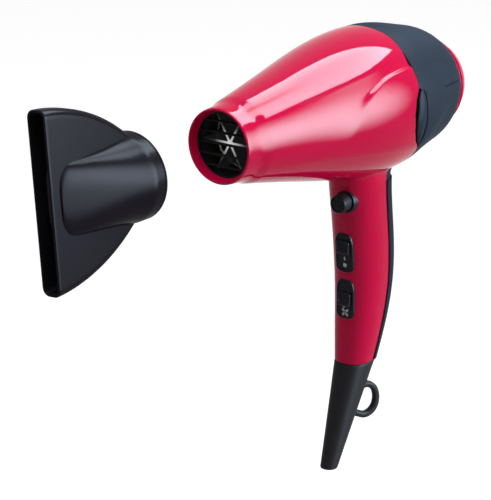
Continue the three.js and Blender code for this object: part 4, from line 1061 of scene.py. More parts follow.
@dataclass
class HandleForm:
    """Outer form of the handle, its root under the barrel and its places for the switches."""

    end_z: float = -173.5
    squareness: float = 2.4
    strip_share: float = 0.25  # strip's front edge, as a share of the half depth behind the centre
    strip_top_z: float = -50.0
    root_x: float = 143.0
    root_z: float = -46.0  # about where it meets the barrel
    root_reach: float = 3.8
    root_swing: float = 1.2  # wider behind and tighter in front by this much
    centre: Curve = Curve(
        (-173.5, 141.8), (-150, 146.3), (-124, 149.3), (-98, 148.6), (-72, 145.5), (-52, 143.2),
        (-40, 143),
    )
    half_depth: Curve = Curve(
        (-173.5, 13.6), (-150, 17.1), (-124, 19.7), (-98, 20.8), (-72, 20.8), (-52, 21.2), (-40, 21.6)
    )
    half_width: Curve = Curve(
        (-173.5, 12), (-150, 14.4), (-124, 16), (-98, 16.6), (-72, 16.8), (-52, 17.2), (-40, 17.6)
    )

    def point(self, turn: ndarray, z: ndarray, inset: float = 0.0) -> ndarray:
        """Points on the handle's skin.

        Args:
            turn: angles in radians from the rear (+X), positive towards -Y.
            z: heights.
            inset: depth below the skin.

        Returns:
            Array of x, y, z in millimetres.
        """
        reach = squared(turn, self.squareness)
        x = self.centre(z) + (self.half_depth(z) - inset) * reach * np.cos(turn)
        y = -(self.half_width(z) - inset) * reach * np.sin(turn)
        return np.stack([x, y, z + 0 * x], axis=-1)

    def strip_turn(self) -> float:
        """Angle of the strip's front edge."""
        share = self.strip_share
        return math.atan2((1 - share**self.squareness) ** (1 / self.squareness), share)

    def front(self, z: float) -> float:
        """Station of the handle's front line."""
        return float(self.centre(z) - self.half_depth(z))

    def front_frame(self, z: float, length: float) -> Matrix:
        """Frame on the front line: X runs into the handle, Z up along its front.

        Args:
            z: height of the frame.
            length: length over which the front's lean is taken.

        Returns:
            Matrix from the local frame to the dryer's own frame, in millimetres.
        """
        lean = (self.front(z + length / 2) - self.front(z - length / 2)) / length
        up, inward = Vector((lean, 0, 1)).normalized(), Vector((1, 0, -lean)).normalized()
        rows = [(inward[i], (0, 1, 0)[i], up[i], (self.front(z), 0, z)[i]) for i in range(3)]
        return Matrix([*rows, (0, 0, 0, 1)])

    def skin(self, turn: ndarray, levels: ndarray) -> ndarray:
        """Grid of the handle's skin, with its root eased into the barrel.

        Args:
            turn: column angles in radians.
            levels: heights below the root, from the bottom up.

        Returns:
            Points in rows from the bottom up.
        """
        height = np.full_like(turn, self.root_z)
        for _ in range(6):
            hit = self.point(turn, height)
            height = BARREL.underside(hit[:, 0], hit[:, 1])
        hit = self.point(turn, height)
        reach = self.root_reach + self.root_swing * np.cos(turn)
        start = self.point(turn, height - reach)
        ahead = np.gradient(hit[:, :2], axis=0)
        outward = np.stack([-ahead[:, 1], ahead[:, 0]], axis=1)
        outward /= np.linalg.norm(outward, axis=1, keepdims=True)
        from_axis = hit[:, :2] - [self.root_x, 0.0]
        outward *= np.sign(np.sum(outward * from_axis, axis=1, keepdims=True))
        spot = hit[:, :2] + outward * reach[:, None]
        end = np.column_stack([spot, BARREL.underside(spot[:, 0], spot[:, 1]) - 0.02])
        rows = [self.point(turn, np.minimum(level, height - reach - 1)) for level in levels]
        share = np.linspace(0, 1, 12)[:, None, None]
        root = start * (1 - share) ** 2 + 2 * hit * share * (1 - share) + end * share**2
        return np.concatenate([np.array(rows), root])


HANDLE = HandleForm()


# ---------------------------------------------------------------- switch bezels, sliders and button
def bezel_outline(width: float, length: float, steps: int = 10) -> ndarray:
    """Outline of a switch bezel: a narrow flat-rounded top and a blunt round bottom.

    Args:
        width: full width.
        length: full length.
        steps: points on each curved stretch.

    Returns:
        Closed outline of y and z, without its first point repeated.
    """
    w, half = width / 2, length / 2
    stretches = [
        ((0, -half), (0.7 * w, -half), (w, -half + 0.2 * w), (w, 0.7 * w - half)),
        ((w, 0.7 * w - half), (w, 0), (w, 0), (w, half - 1.2 * w)),
        ((w, half - 1.2 * w), (w, half - 0.6 * w), (0.8 * w, half), (0.45 * w, half)),
        ((0.45 * w, half), (0.25 * w, half + 0.15), (0.1 * w, half + 0.2), (0, half + 0.2)),
    ]
    share = np.linspace(0, 1, steps, endpoint=False)[:, None]
    half_line = [
        np.array(a) * (1 - share) ** 3
        + 3 * np.array(b) * share * (1 - share) ** 2
        + 3 * np.array(c) * share**2 * (1 - share)
        + np.array(d) * share**3
        for a, b, c, d in stretches
    ]
    right = np.concatenate([*half_line, [[0, half + 0.2]]])
    return np.concatenate([right, right[-2:0:-1] * [-1, 1]])


def shrunk(outline: ndarray, inset: float) -> ndarray:
    """Move a closed outline inwards by an even amount.

    Args:
        outline: points of y and z in order.
        inset: how far.

    Returns:
        The moved points.
    """
    along = np.roll(outline, -1, axis=0) - np.roll(outline, 1, axis=0)
    inward = np.stack([-along[:, 1], along[:, 0]], axis=1)
    return outline + inset * inward / np.linalg.norm(inward, axis=1, keepdims=True)


def inside(outline: ndarray, y: ndarray, z: ndarray) -> ndarray:
    """Tell which places lie inside a closed outline.

    Args:
        outline: points of y and z in order.
        y: places across.
        z: places up.

    Returns:
        True for each place inside.
    """
    found = np.zeros(np.shape(y), bool)
    for (y0, z0), (y1, z1) in zip(outline, np.roll(outline, -1, axis=0)):
        crosses = (z0 > z) != (z1 > z)
        found ^= crosses & (y < (y1 - y0) * (z - z0) / (z1 - z0 + 1e-12) + y0)
    return found


def moved(grid: ndarray, matrix: Matrix) -> ndarray:
    """Take points through a matrix."""
    array = np.array(matrix)
    return grid @ array[:3, :3].T + array[:3, 3]


@dataclass
class SlideSwitch:
    """Bezel, thumb slide and function marks of one slide switch."""

    name: str
    z: float
    rest: float  # of the slide above the bezel's middle
    marks: tuple["Mark", ...]
    width: float = 13.5
    length: float = 26.5
    proud: float = 0.9
    rim: float = 1.2
    floor: float = 0.1
    slide_width: float = 9.6
    slide_length: float = 9.4
    slide_corner: float = 1.6
    slide_edge: float = 0.45
    rail: float = 1.15

    def frame(self) -> Matrix:
        """Frame of the switch on the handle's front line."""
        return HANDLE.front_frame(self.z, self.length)

    def surface(self, y: ndarray) -> ndarray:
        """Depth of the handle's skin behind its front line, at a distance to the side."""
        share, power = np.clip(np.abs(y) / HANDLE.half_width(self.z), 0, 1), HANDLE.squareness
        return HANDLE.half_depth(self.z) * (1 - (1 - share**power) ** (1 / power))

    def ring(self, inset: float, depth: float, follow: float = 0.0) -> ndarray:
        """One ring of the bezel.

        Args:
            inset: distance in from the outline.
            depth: depth behind the front line, negative in front of it.
            follow: share of the handle's curvature that the ring follows.

        Returns:
            Points in the switch frame.
        """
        outline = shrunk(bezel_outline(self.width, self.length), inset)
        y, z = outline[:, 0], outline[:, 1]
        return np.stack([depth + follow * self.surface(y), y, z], axis=1)

    def bezel(self) -> None:
        """Dished frame that follows the handle's curve, with a sunk floor and the slide's track."""
        top = -self.proud
        rings = [self.ring(0, 0.8, 1.0), self.ring(0, top + 0.45, 0.35)]
        for a in (25, 50, 75, 90):
            turn = math.radians(a)
            inset, sunk = 0.5 * (1 - math.cos(turn)), 0.45 - 0.45 * math.sin(turn)
            rings.append(self.ring(inset, top + sunk, 0.35))
        rings += [self.ring(self.rim - 0.25, top, 0.35), self.ring(self.rim, top + 0.25, 0.3)]
        rings.append(self.ring(self.rim + 0.05, self.floor - 0.25))
        rings.append(self.ring(self.rim + 0.35, self.floor))
        shell = Shell().add(moved(np.array(rings), self.frame()), closed=True)
        shell.cap(moved(rings[-1], self.frame()))
        shell.build(f"{self.name}_bezel_frame", SATIN, "dryer", f"{self.name}_bezel", smooth=35)

    def slide_height(self, y: ndarray, z: ndarray) -> ndarray:
        """Height of the slide above the front line.

        Args:
            y: places across the slide.
            z: places up it.

        Returns:
            The heights there.
        """
        share = (z + self.slide_length / 2) / self.slide_length
        ramp = np.interp(share, [0, 0.1, 0.2, 0.45, 0.8, 1], [1.5, 2.9, 3.2, 1.5, 0.95, 1.0])
        edge = self.slide_width / 2 - np.abs(y)
        rails = np.interp(share, [0, 0.12, 0.3, 0.9, 1], [1.2, 2.6, 2.9, 2.0, 1.4])
        blend = 1 - smoothstep(self.rail - 0.35, self.rail + 0.15, edge)
        ribs = 0.16 * np.sin(share * 34) * smoothstep(0.3, 0.4, share)
        ribs = ribs * smoothstep(0.95, 0.85, share)
        return (ramp + ribs) * (1 - blend) + np.maximum(rails, ramp) * blend

    def slide(self) -> None:
        """Thumb slide with a dished, ribbed ramp between two rails and a raised nose."""
        half_w, half_l = self.slide_width / 2, self.slide_length / 2
        y = half_w * np.sin(np.linspace(-1, 1, 49) * math.pi / 2)
        z = np.linspace(-half_l, half_l, 61)
        across, along = np.meshgrid(y, z)
        corner, edge = self.slide_corner, self.slide_edge
        over = np.maximum(np.abs(along) - (half_l - corner), 0)
        shrink = (half_w - corner + np.sqrt(np.maximum(corner**2 - over**2, 0))) / half_w
        across = across * shrink
        top = -self.slide_height(across, along)
        near = np.minimum(half_w * shrink - np.abs(across), half_l - np.abs(along))
        top = top + edge * (1 - np.sqrt(1 - (1 - np.clip(near / edge, 0, 1)) ** 2))
        grid = np.stack([top, across, along], axis=2)
        frame = self.frame() @ Matrix.Translation((0, 0, self.rest))
        shell = Shell().add(moved(grid, frame), flip=True)
        loop = np.concatenate([grid[0], grid[1:, -1], grid[-1, -2::-1], grid[-2:0:-1, 0]])
        foot = loop * [0, 1, 1] + [self.floor - 0.2, 0, 0]
        shell.add(moved(np.array([foot, loop]), frame), closed=True)
        slider = f"{self.name}_slider"
        shell.build(f"{self.name}_thumb_slide", SATIN, slider, slider, smooth=50)

    def print_marks(self) -> None:
        """White function marks on the bezel's floor."""
        shell = Shell()
        for mark in self.marks:
            for outline in mark.outlines():
                ring = np.column_stack([np.full(len(outline), self.floor - 0.06), outline])
                back = ring + [0.05, 0, 0]
                shell.add(moved(np.array([back, ring]), self.frame()), closed=True)
                shell.cap(moved(ring, self.frame()))
        shell.build(f"{self.name}_marks", WHITE_PRINT, "dryer")

    def build(self) -> None:
        """Make all pieces of the switch."""
        self.bezel()
        self.slide()
        self.print_marks()


class Sign(Enum):
    """Function sign printed beside a switch position."""

    DOT = "dot"
    DROP = "drop"
    SQUARE = "square"
    FAN = "fan"


@dataclass(frozen=True)
class Mark:
    """One printed sign."""

    sign: Sign
    z: float
    size: float
    y: float = 0.0
    turn: float = 0.0

    def outlines(self) -> list[ndarray]:
        """Draw the sign.

        Returns:
            Its closed outlines, as y and z on the bezel's floor.
        """
        angle = np.linspace(0, 2 * math.pi, 24, endpoint=False)
        circle = np.stack([np.cos(angle), np.sin(angle)], axis=1) * self.size / 2
        if self.sign is Sign.DROP:
            circle = circle * [0.62, 1.0] * (1 + 0.5 * np.maximum(np.sin(angle), 0) ** 4)[:, None]
        shapes = [circle]
        if self.sign is Sign.SQUARE:
            shapes = [circle * squared(angle, 5)[:, None]]
        if self.sign is Sign.FAN:
            blade = circle * [0.42, 0.62] * (1 + 0.25 * np.sin(angle))[:, None]
            blade = blade + [0, self.size * 0.42]
            shapes = [circle * 0.22, *[self.swing(blade, turn) for turn in range(45, 405, 90)]]
        return [self.swing(shape, self.turn) + [self.y, self.z] for shape in shapes]

    @staticmethod
    def swing(outline: ndarray, degrees: float) -> ndarray:
        """Turn an outline about its middle."""
        c, s = math.cos(math.radians(degrees)), math.sin(math.radians(degrees))
        return outline @ np.array([[c, s], [-s, c]])


@dataclass
class CoolShot:
    """Round cool-shot button with an embossed face, in its sleeve."""

    z: float = -61.5
    y: float = -3.5
    radius: float = 5.95
    proud: float = 9.0
    sleeve_wall: float = 0.9
    sleeve_proud: float = 1.0
    petals: int = 6

    def frame(self) -> Matrix:
        """Frame of the button on the handle's front."""
        return Matrix.Translation((HANDLE.front(self.z), self.y, self.z))

    def button(self) -> None:
        """Cap with a rounded rim, a knurled collar and petals embossed in its face."""
        front = -self.proud
        face = self.radius - 1.35
        inner = np.linspace(0.02, face, 34)
        turn = np.linspace(0, 2 * math.pi, 144, endpoint=False)
        reach, angle = np.meshgrid(inner, turn, indexing="ij")
        share = reach / face
        petal = np.cos(self.petals / 2 * angle) ** 2
        band = smoothstep(0.22, 0.32, share) * smoothstep(0.92, 0.8, share)
        lobes = smoothstep(0.35, 0.6, petal * (1.25 - 0.55 * share)) * band
        boss = smoothstep(0.2, 0.12, share)
        depth = front + 0.62 - 0.42 * lobes - 0.35 * boss
        face_grid = np.stack([depth, reach * np.sin(angle), reach * np.cos(angle)], axis=2)
        profile = filleted(
            [(front + 0.62, face), (front, face + 0.25), (front, self.radius - 0.55),
             (front + 0.75, self.radius), (3, self.radius)],
            [0.1, 0.25, 0.7], 6,
        )
        wall = turned_grid(profile, 144)
        grid = moved(np.concatenate([face_grid, wall]), self.frame())
        shell = Shell().add(grid, closed=True)
        shell.build("cool_shot_cap", SATIN, "cool_shot_button", "cool_shot_button", smooth=50)

    def sleeve(self) -> None:
        """Collar that stands round the button on the handle."""
        inner = self.radius + GAP
        outer = inner + self.sleeve_wall
        lip = -self.sleeve_proud
        corners = [(6, inner), (lip, inner), (lip, outer + 0.1), (6, outer + 0.5)]
        profile = filleted(corners, [0.3, 0.4])
        grid = moved(turned_grid(profile, 96), self.frame())
        Shell().add(grid, closed=True, flip=True).build(
            "cool_shot_collar", SATIN, "dryer", "cool_shot_sleeve", smooth=50
        )

    def build(self) -> None:
        """Make the button and its collar."""
        self.button()
        self.sleeve()


# ---------------------------------------------------------------- red housing
@dataclass
class Housing:
    """Crimson shells of barrel and handle, parted down the middle."""

    parting: float = 0.02  # from the parting plane to each shell
    wall: float = 2.2
    switches: tuple[SlideSwitch, ...] = ()
    button: CoolShot = field(default_factory=CoolShot)

    def barrel_grid(self) -> ndarray:
        """Make the skin of one half of the barrel.

        Returns:
            Points in rows from inside the lip to the rear edge.
        """
        counts = (34, 18, 56, 52)
        turn = np.linspace(0, math.pi, sum(counts) + 1)[None, :]
        share = np.concatenate([np.linspace(0, 0.1, 8)[:-1], np.linspace(0.1, 1, 110)])[:, None]
        turns = np.repeat(turn, len(share), axis=0)
        lines = (BARREL.upper_crease, BARREL.second_crease, BARREL.lower_line)
        for _ in range(5):
            end = BARREL.edge(BARREL.red_edge, turns) - EDGE
            x = BARREL.step_x + (end - BARREL.step_x) * share
            turns = BARREL.columns(x, lines, counts)
        skin = BARREL.point(x, turns, BARREL.relief(x, turns))
        front = turns[0]
        rows = [
            np.stack([np.full_like(front, x), -r * np.sin(front), r * np.cos(front)], axis=1)
            for x, r in BARREL.neck
        ]
        grid = np.concatenate([np.array(rows), skin])
        side = np.abs(grid[..., 1])
        grid[..., 1] = -np.maximum(side, self.parting)
        return rolled(grid, (Side.LAST_ROW,), self.wall, inwards=True)

    def handle_grid(self) -> ndarray:
        """Make the skin of one half of the handle.

        Returns:
            Points in rows from the bottom up, from the front line to the grip strip.
        """
        start = math.pi - 0.001
        turn = np.linspace(start, HANDLE.strip_turn(), 60)
        levels = spread((HANDLE.end_z + EDGE, -56.0, 110))
        grid = HANDLE.skin(turn, levels)
        return rolled(grid, (Side.FIRST_ROW, Side.LAST_COLUMN), self.wall, inwards=True)

    def openings(self, grid: ndarray) -> ndarray:
        """Find the faces of the handle that lie under a switch bezel or the button's sleeve.

        Args:
            grid: handle's points.

        Returns:
            True for each of those faces.
        """
        middle = (grid[:-1, :-1] + grid[1:, :-1] + grid[1:, 1:] + grid[:-1, 1:]) / 4
        y, z = middle[..., 1], middle[..., 2]
        forward = middle[..., 0] < HANDLE.centre(z)
        away = (y - self.button.y) ** 2 + (z - self.button.z) ** 2
        drop = away < (self.button.radius + 0.6) ** 2
        for switch in self.switches:
            outline = shrunk(bezel_outline(switch.width, switch.length), 0.9)
            drop |= inside(outline, y, z - switch.z)
        return drop & forward

    def build(self) -> None:
        """Make both housing shells, each of barrel and handle skin."""
        barrel, handle = self.barrel_grid(), self.handle_grid()
        for side, mirror in (("left", np.ones(3)), ("right", MIRROR)):
            right = mirror is MIRROR
            shell = Shell().add(barrel * mirror, flip=not right)
            shell.add(handle * mirror, flip=right, drop=self.openings(handle * mirror))
            shell.build(f"{side}_shell", CRIMSON, "dryer", f"{side}_housing", smooth=60)


# ---------------------------------------------------------------- grey hood, leaves and grip strip
@dataclass
class Hood:
    """Soft grey hood, its root at the handle, the side leaves and the grip strip."""

    wall: float = 2.0
    strip_proud: float = 0.9
    leaf_span: tuple[float, float] = (73.2, 121.3)  # in degrees from the top
    channel: float = 4.0  # depth of the intake channel behind a leaf

    def front(self, turn: ndarray) -> ndarray:
        """Station of the hood's front edge.

        Args:
            turn: angles in radians from the top.

        Returns:
            The stations there.
        """
        degrees = np.degrees(turn)
        plain = BARREL.edge(BARREL.red_edge, turn) + GAP
        leaf = np.interp(degrees, *zip(*BARREL.leaf_back)) + 0.35
        inside_leaf = smoothstep(72, 75, degrees) * (1 - smoothstep(119.5, 123, degrees))
        return plain * (1 - inside_leaf) + leaf * inside_leaf

    def skin_grid(self) -> ndarray:
        """Make the skin of one half of the hood.

        Returns:
            Points in rows from its front edge to the rear cover.
        """
        counts = (36, 22, 8, 60)
        slit = Curve((100, BARREL.slit), (240, BARREL.slit))
        share = np.linspace(0, 1, 90)[:, None]
        turn = np.linspace(0, math.pi, sum(counts) + 1)[None, :]
        turns = np.repeat(turn, len(share), axis=0)
        for _ in range(5):
            start = self.front(turns) + EDGE
            x = start + (BARREL.hood_end_x - EDGE - start) * share
            turns = BARREL.columns(x, (BARREL.seam, slit, BARREL.bevel), counts)
        grid = BARREL.point(x, turns, BARREL.hood_relief(x, turns))
        return rolled(grid, (Side.FIRST_ROW, Side.LAST_ROW), self.wall, inwards=True)

    @staticmethod
    def back_columns() -> ndarray:
        """Angles of the columns down the back of the handle."""
        return np.linspace(HANDLE.strip_turn() - 0.03, 0, 40)

    def root_grid(self) -> ndarray:
        """Hood's root down the back of the handle, to the grip strip."""
        levels = np.array([HANDLE.strip_top_z - 1.5, HANDLE.strip_top_z - 0.8])
        return HANDLE.skin(self.back_columns(), levels)

    def build_hood(self) -> None:
        """Make the hood."""
        shell = Shell().both(self.skin_grid(), flip=True)
        root = self.root_grid()
        shell.both(root, flip=True)
        shell.build("hood_shell", SOFT_GREY, "dryer", "rear_hood", smooth=60)

    def build_strip(self) -> None:
        """Make the grip strip down the back of the handle."""
        turn = self.back_columns()
        levels = spread((HANDLE.end_z + EDGE, HANDLE.strip_top_z - 1.0, 100))
        half = np.array([HANDLE.point(turn, level, -self.strip_proud) for level in levels])
        whole = np.concatenate([half[:, :-1], half[:, ::-1] * MIRROR], axis=1)
        sides = (Side.FIRST_ROW, Side.FIRST_COLUMN, Side.LAST_COLUMN)
        shell = Shell().add(rolled(whole, sides, 1.3, 0.3, inwards=True), flip=True)
        shell.build("grip_back", SHADED_STRIP_GREY, "dryer", "grip_strip", smooth=60)

    def leaf_grid(self) -> ndarray:
        """Make one side leaf: a lens in front and a raised rim behind it, with a groove between.

        Returns:
            Points in rows from the top down.
        """
        first, last = self.leaf_span
        degrees = np.linspace(first, last, 90)[:, None]
        share = np.linspace(0, 1, 44)[None, :]
        front = np.interp(degrees, *zip(*BARREL.leaf_front))
        back = np.interp(degrees, *zip(*BARREL.leaf_back))
        x = front + (back - front) * share
        along = (degrees - first) / (last - first)
        ends = np.sqrt(np.clip(1 - (2 * along - 1) ** 4, 0, 1))
        lens = 1.2 * np.sin(math.pi * np.clip(share / 0.66, 0, 1)) ** 0.7
        rim = 1.2 * np.sin(math.pi * np.clip((share - 0.7) / 0.3, 0, 1)) ** 0.6
        height = (lens + rim - 0.35) * ends
        turn = np.radians(degrees) + 0 * x
        edges = (Side.FIRST_COLUMN, Side.LAST_COLUMN)
        return rolled(BARREL.point(x, turn, -height), edges, self.channel, 0.3)

    def liner_grid(self) -> ndarray:
        """Make the floor of the intake channel behind a leaf, black as painted shade of the gap.

        Returns:
            Points in rows from front to back.
        """
        turn = np.radians(np.linspace(66, 128, 24))[None, :]
        x = np.linspace(130, 156, 10)[:, None]
        return BARREL.point(x + 0 * turn, turn + 0 * x, self.channel)

    def build(self) -> None:
        """Make the hood, the strip, the leaves and the channel behind them."""
        self.build_hood()
        self.build_strip()
        leaf = self.leaf_grid()
        Shell().add(leaf).build("left_leaf", SOFT_GREY, "dryer", "left_louver", smooth=50)
        right = Shell().add(leaf * MIRROR, flip=True)
        right.build("right_leaf", SOFT_GREY, "dryer", "right_louver", smooth=50)
        # black matt channel floors: painted shade in the intake gaps
        Shell().both(self.liner_grid(), flip=True).build("intake_shade_liners", MATT, "dryer")


# ---------------------------------------------------------------- rear cover
@dataclass
class IntakeCover:
    """Red dome over the air intake, with radial slots."""

    start_x: float = 212.3
    slots: int = 12
    slot_width: float = 2.6
    starts: tuple[float, float] = (17.0, 9.0)
    slot_end: float = 26.0
    wall: float = 2.0

    def profile(self) -> list[tuple[float, float]]:
        """Make the profile of the dome.

        Returns:
            Its points as x and radius, from its front edge over the tail to the axis.
        """
        reach = BARREL.length - 1.2 - self.start_x
        stations = BARREL.length - 0.8 - reach * np.linspace(1, 0, 46) ** 1.6
        side = [(float(x), float(BARREL.dome(x))) for x in stations]
        start, first = self.start_x, side[0][1]
        rim = [(start + 1.2, first - 1.4), (start, first - 0.9), (start, first - 0.1)]
        end, last = BARREL.length, side[-1][1]
        tail = [(end - 0.35, last - 0.6), (end - 0.1, last - 1.2), (end, last - 2.0)]
        face = [(end, r) for r in np.linspace(last - 2.8, 0.3, 10)]
        return [*rim, *side, *tail, *face]

    def build(self) -> None:
        """Make the dome with its slots cut along grid lines."""
        profile = self.profile()
        radii = np.array([r for _, r in profile])
        for wanted in (self.slot_end, *self.starts):
            nearest = 3 + int(np.argmin(np.abs(radii[3:] - wanted)))
            radii[nearest] = wanted
        slot_steps, rest_steps = 4, 14
        sector = 2 * math.pi / self.slots
        rows, drops = [], []
        for row, ((x, _), radius) in enumerate(zip(profile, radii)):
            widest = math.asin(min(self.slot_width / 2 / max(radius, 1.4), 1))
            half = min(widest, sector * 0.42)
            inner = np.linspace(-half, half, slot_steps, endpoint=False)
            outer = np.linspace(half, sector - half, rest_steps, endpoint=False)
            one = np.concatenate([inner, outer])
            turn = np.concatenate([one + k * sector for k in range(self.slots)])
            z = radius * np.cos(turn) - BARREL.axis_drop(np.array(x))
            rows.append(np.stack([np.full_like(turn, x), radius * np.sin(turn), z], axis=1))
            if row:
                middle = (radii[row - 1] + radius) / 2
                long = [start < middle < self.slot_end and row > 3 for start in self.starts[::-1]]
                cut = [
                    [c < slot_steps and long[k % 2] for c in range(slot_steps + rest_steps)]
                    for k in range(self.slots)
                ]
                drops.append(np.array(cut).reshape(-1))
        grid = np.array(rows)
        shell = Shell().add(grid, closed=True, drop=np.array(drops))
        piece = shell.build("intake_dome", CRIMSON, "cover", "intake_cover", smooth=50)
        skin = piece.modifiers.new("wall", "SOLIDIFY")
        skin.thickness, skin.offset = self.wall * MM, -1


# ---------------------------------------------------------------- cord guard
@dataclass
class CordGuard:
    """Tapered cord guard with a hanging loop at its side."""

    seat: tuple[float, float, float] = (141.8, 13.6, 12.0)  # x, half depth and half width on top
    end_z: float = -242.0
    end_x: float = 114.2
    end_radius: float = 5.7
    bore: float = 3.7
    loop_top: float = -191.4
    loop_bottom: float = -211.9
    loop_reach: float = 23.9
    loop_turn: float = 25.0
    loop_section: tuple[float, float] = (2.15, 2.5)  # half thickness and half width of the wire
    loop_form: tuple[tuple[float, float], ...] = (
        (0.4, 0.05), (0.53, 0.02), (0.69, 0), (0.9, 0.14), (1, 0.47), (0.93, 0.85), (0.69, 1.04),
        (0.46, 0.98), (0.23, 0.86), (0.1, 0.8),
    )  # line of the loop, as shares of its reach and of its height from the top

    def ring(self, z: float, inset: float, at: float | None = None) -> ndarray:
        """Ring round the guard.

        Args:
            z: height whose outline the ring takes.
            inset: distance inside the skin.
            at: height of the ring itself, if it is another one.

        Returns:
            Ring of points.
        """
        share = (HANDLE.end_z - z) / (HANDLE.end_z - self.end_z)
        ends = (self.end_x, self.end_radius, self.end_radius)
        centre, depth, width = (a + (b - a) * share for a, b in zip(self.seat, ends))
        turn = np.linspace(0, 2 * math.pi, 72, endpoint=False)
        reach = squared(turn, HANDLE.squareness + (2 - HANDLE.squareness) * share)
        x = centre + (depth - inset) * reach * np.cos(turn)
        y = -(width - inset) * reach * np.sin(turn)
        return np.stack([x, y, np.full_like(x, z if at is None else at)], axis=1)

    def body_grid(self) -> ndarray:
        """Make the guard's skin.

        Returns:
            Points in rows from its seat in the handle to its tip and up its bore.
        """
        top, end, wall = HANDLE.end_z - GAP, self.end_z, self.end_radius - self.bore
        rows = [self.ring(top, 2.6, top + 4), self.ring(top, 2.6, top)]
        rows += [self.ring(top, 0.35), self.ring(top - 0.35, 0.05)]
        rows += [self.ring(z, 0) for z in np.linspace(top - 1, end + 0.6, 40)]
        rows += [self.ring(end, 0.2, end + 0.15), self.ring(end, 0.6), self.ring(end, wall - 0.3)]
        widening = (self.seat[1] - self.end_radius) / (HANDLE.end_z - end)
        rows += [self.ring(end + z, wall + widening * z) for z in (0.3, 14)]
        return np.array(rows)

    def loop_grid(self) -> ndarray:
        """Make the loop of oval wire, thicker where it leaves the guard.

        Returns:
            Rings of points along the loop.
        """
        turn = math.radians(self.loop_turn)
        middle = (self.loop_top + self.loop_bottom) / 2
        share = (HANDLE.end_z - middle) / (HANDLE.end_z - self.end_z)
        axis = self.seat[0] + (self.end_x - self.seat[0]) * share
        steps = np.linspace(0, len(self.loop_form) - 1, 60)
        out = Curve(*[(i, p[0] * self.loop_reach) for i, p in enumerate(self.loop_form)])(steps)
        down = Curve(*[(i, p[1]) for i, p in enumerate(self.loop_form)])(steps)
        z = self.loop_top - down * (self.loop_top - self.loop_bottom)
        centre = np.stack([axis + out * math.cos(turn), -out * math.sin(turn), z], axis=1)
        ahead = np.gradient(centre, axis=0)
        ahead /= np.linalg.norm(ahead, axis=1, keepdims=True)
        side = np.array([math.sin(turn), math.cos(turn), 0.0])
        across = np.cross(ahead, side)
        around = np.linspace(0, 2 * math.pi, 24, endpoint=False)
        ends = np.minimum(steps, steps[-1] - steps)
        swell = 1 + 0.35 * np.exp(-(ends / 1.1) ** 2)
        reach = squared(around, 3)
        thick, wide = self.loop_section
        flat = (reach * np.cos(around))[None, :, None] * across[:, None, :] * thick
        broad = (reach * np.sin(around))[None, :, None] * side[None, None, :] * wide
        return centre[:, None, :] + (flat + broad) * swell[:, None, None]

    def build(self) -> None:
        """Make guard and loop."""
        shell = Shell().add(self.body_grid(), closed=True, flip=True)
        shell.add(self.loop_grid(), closed=True)
        shell.build("cord_guard_body", GUARD_RUBBER, "dryer", "cord_guard", smooth=50)


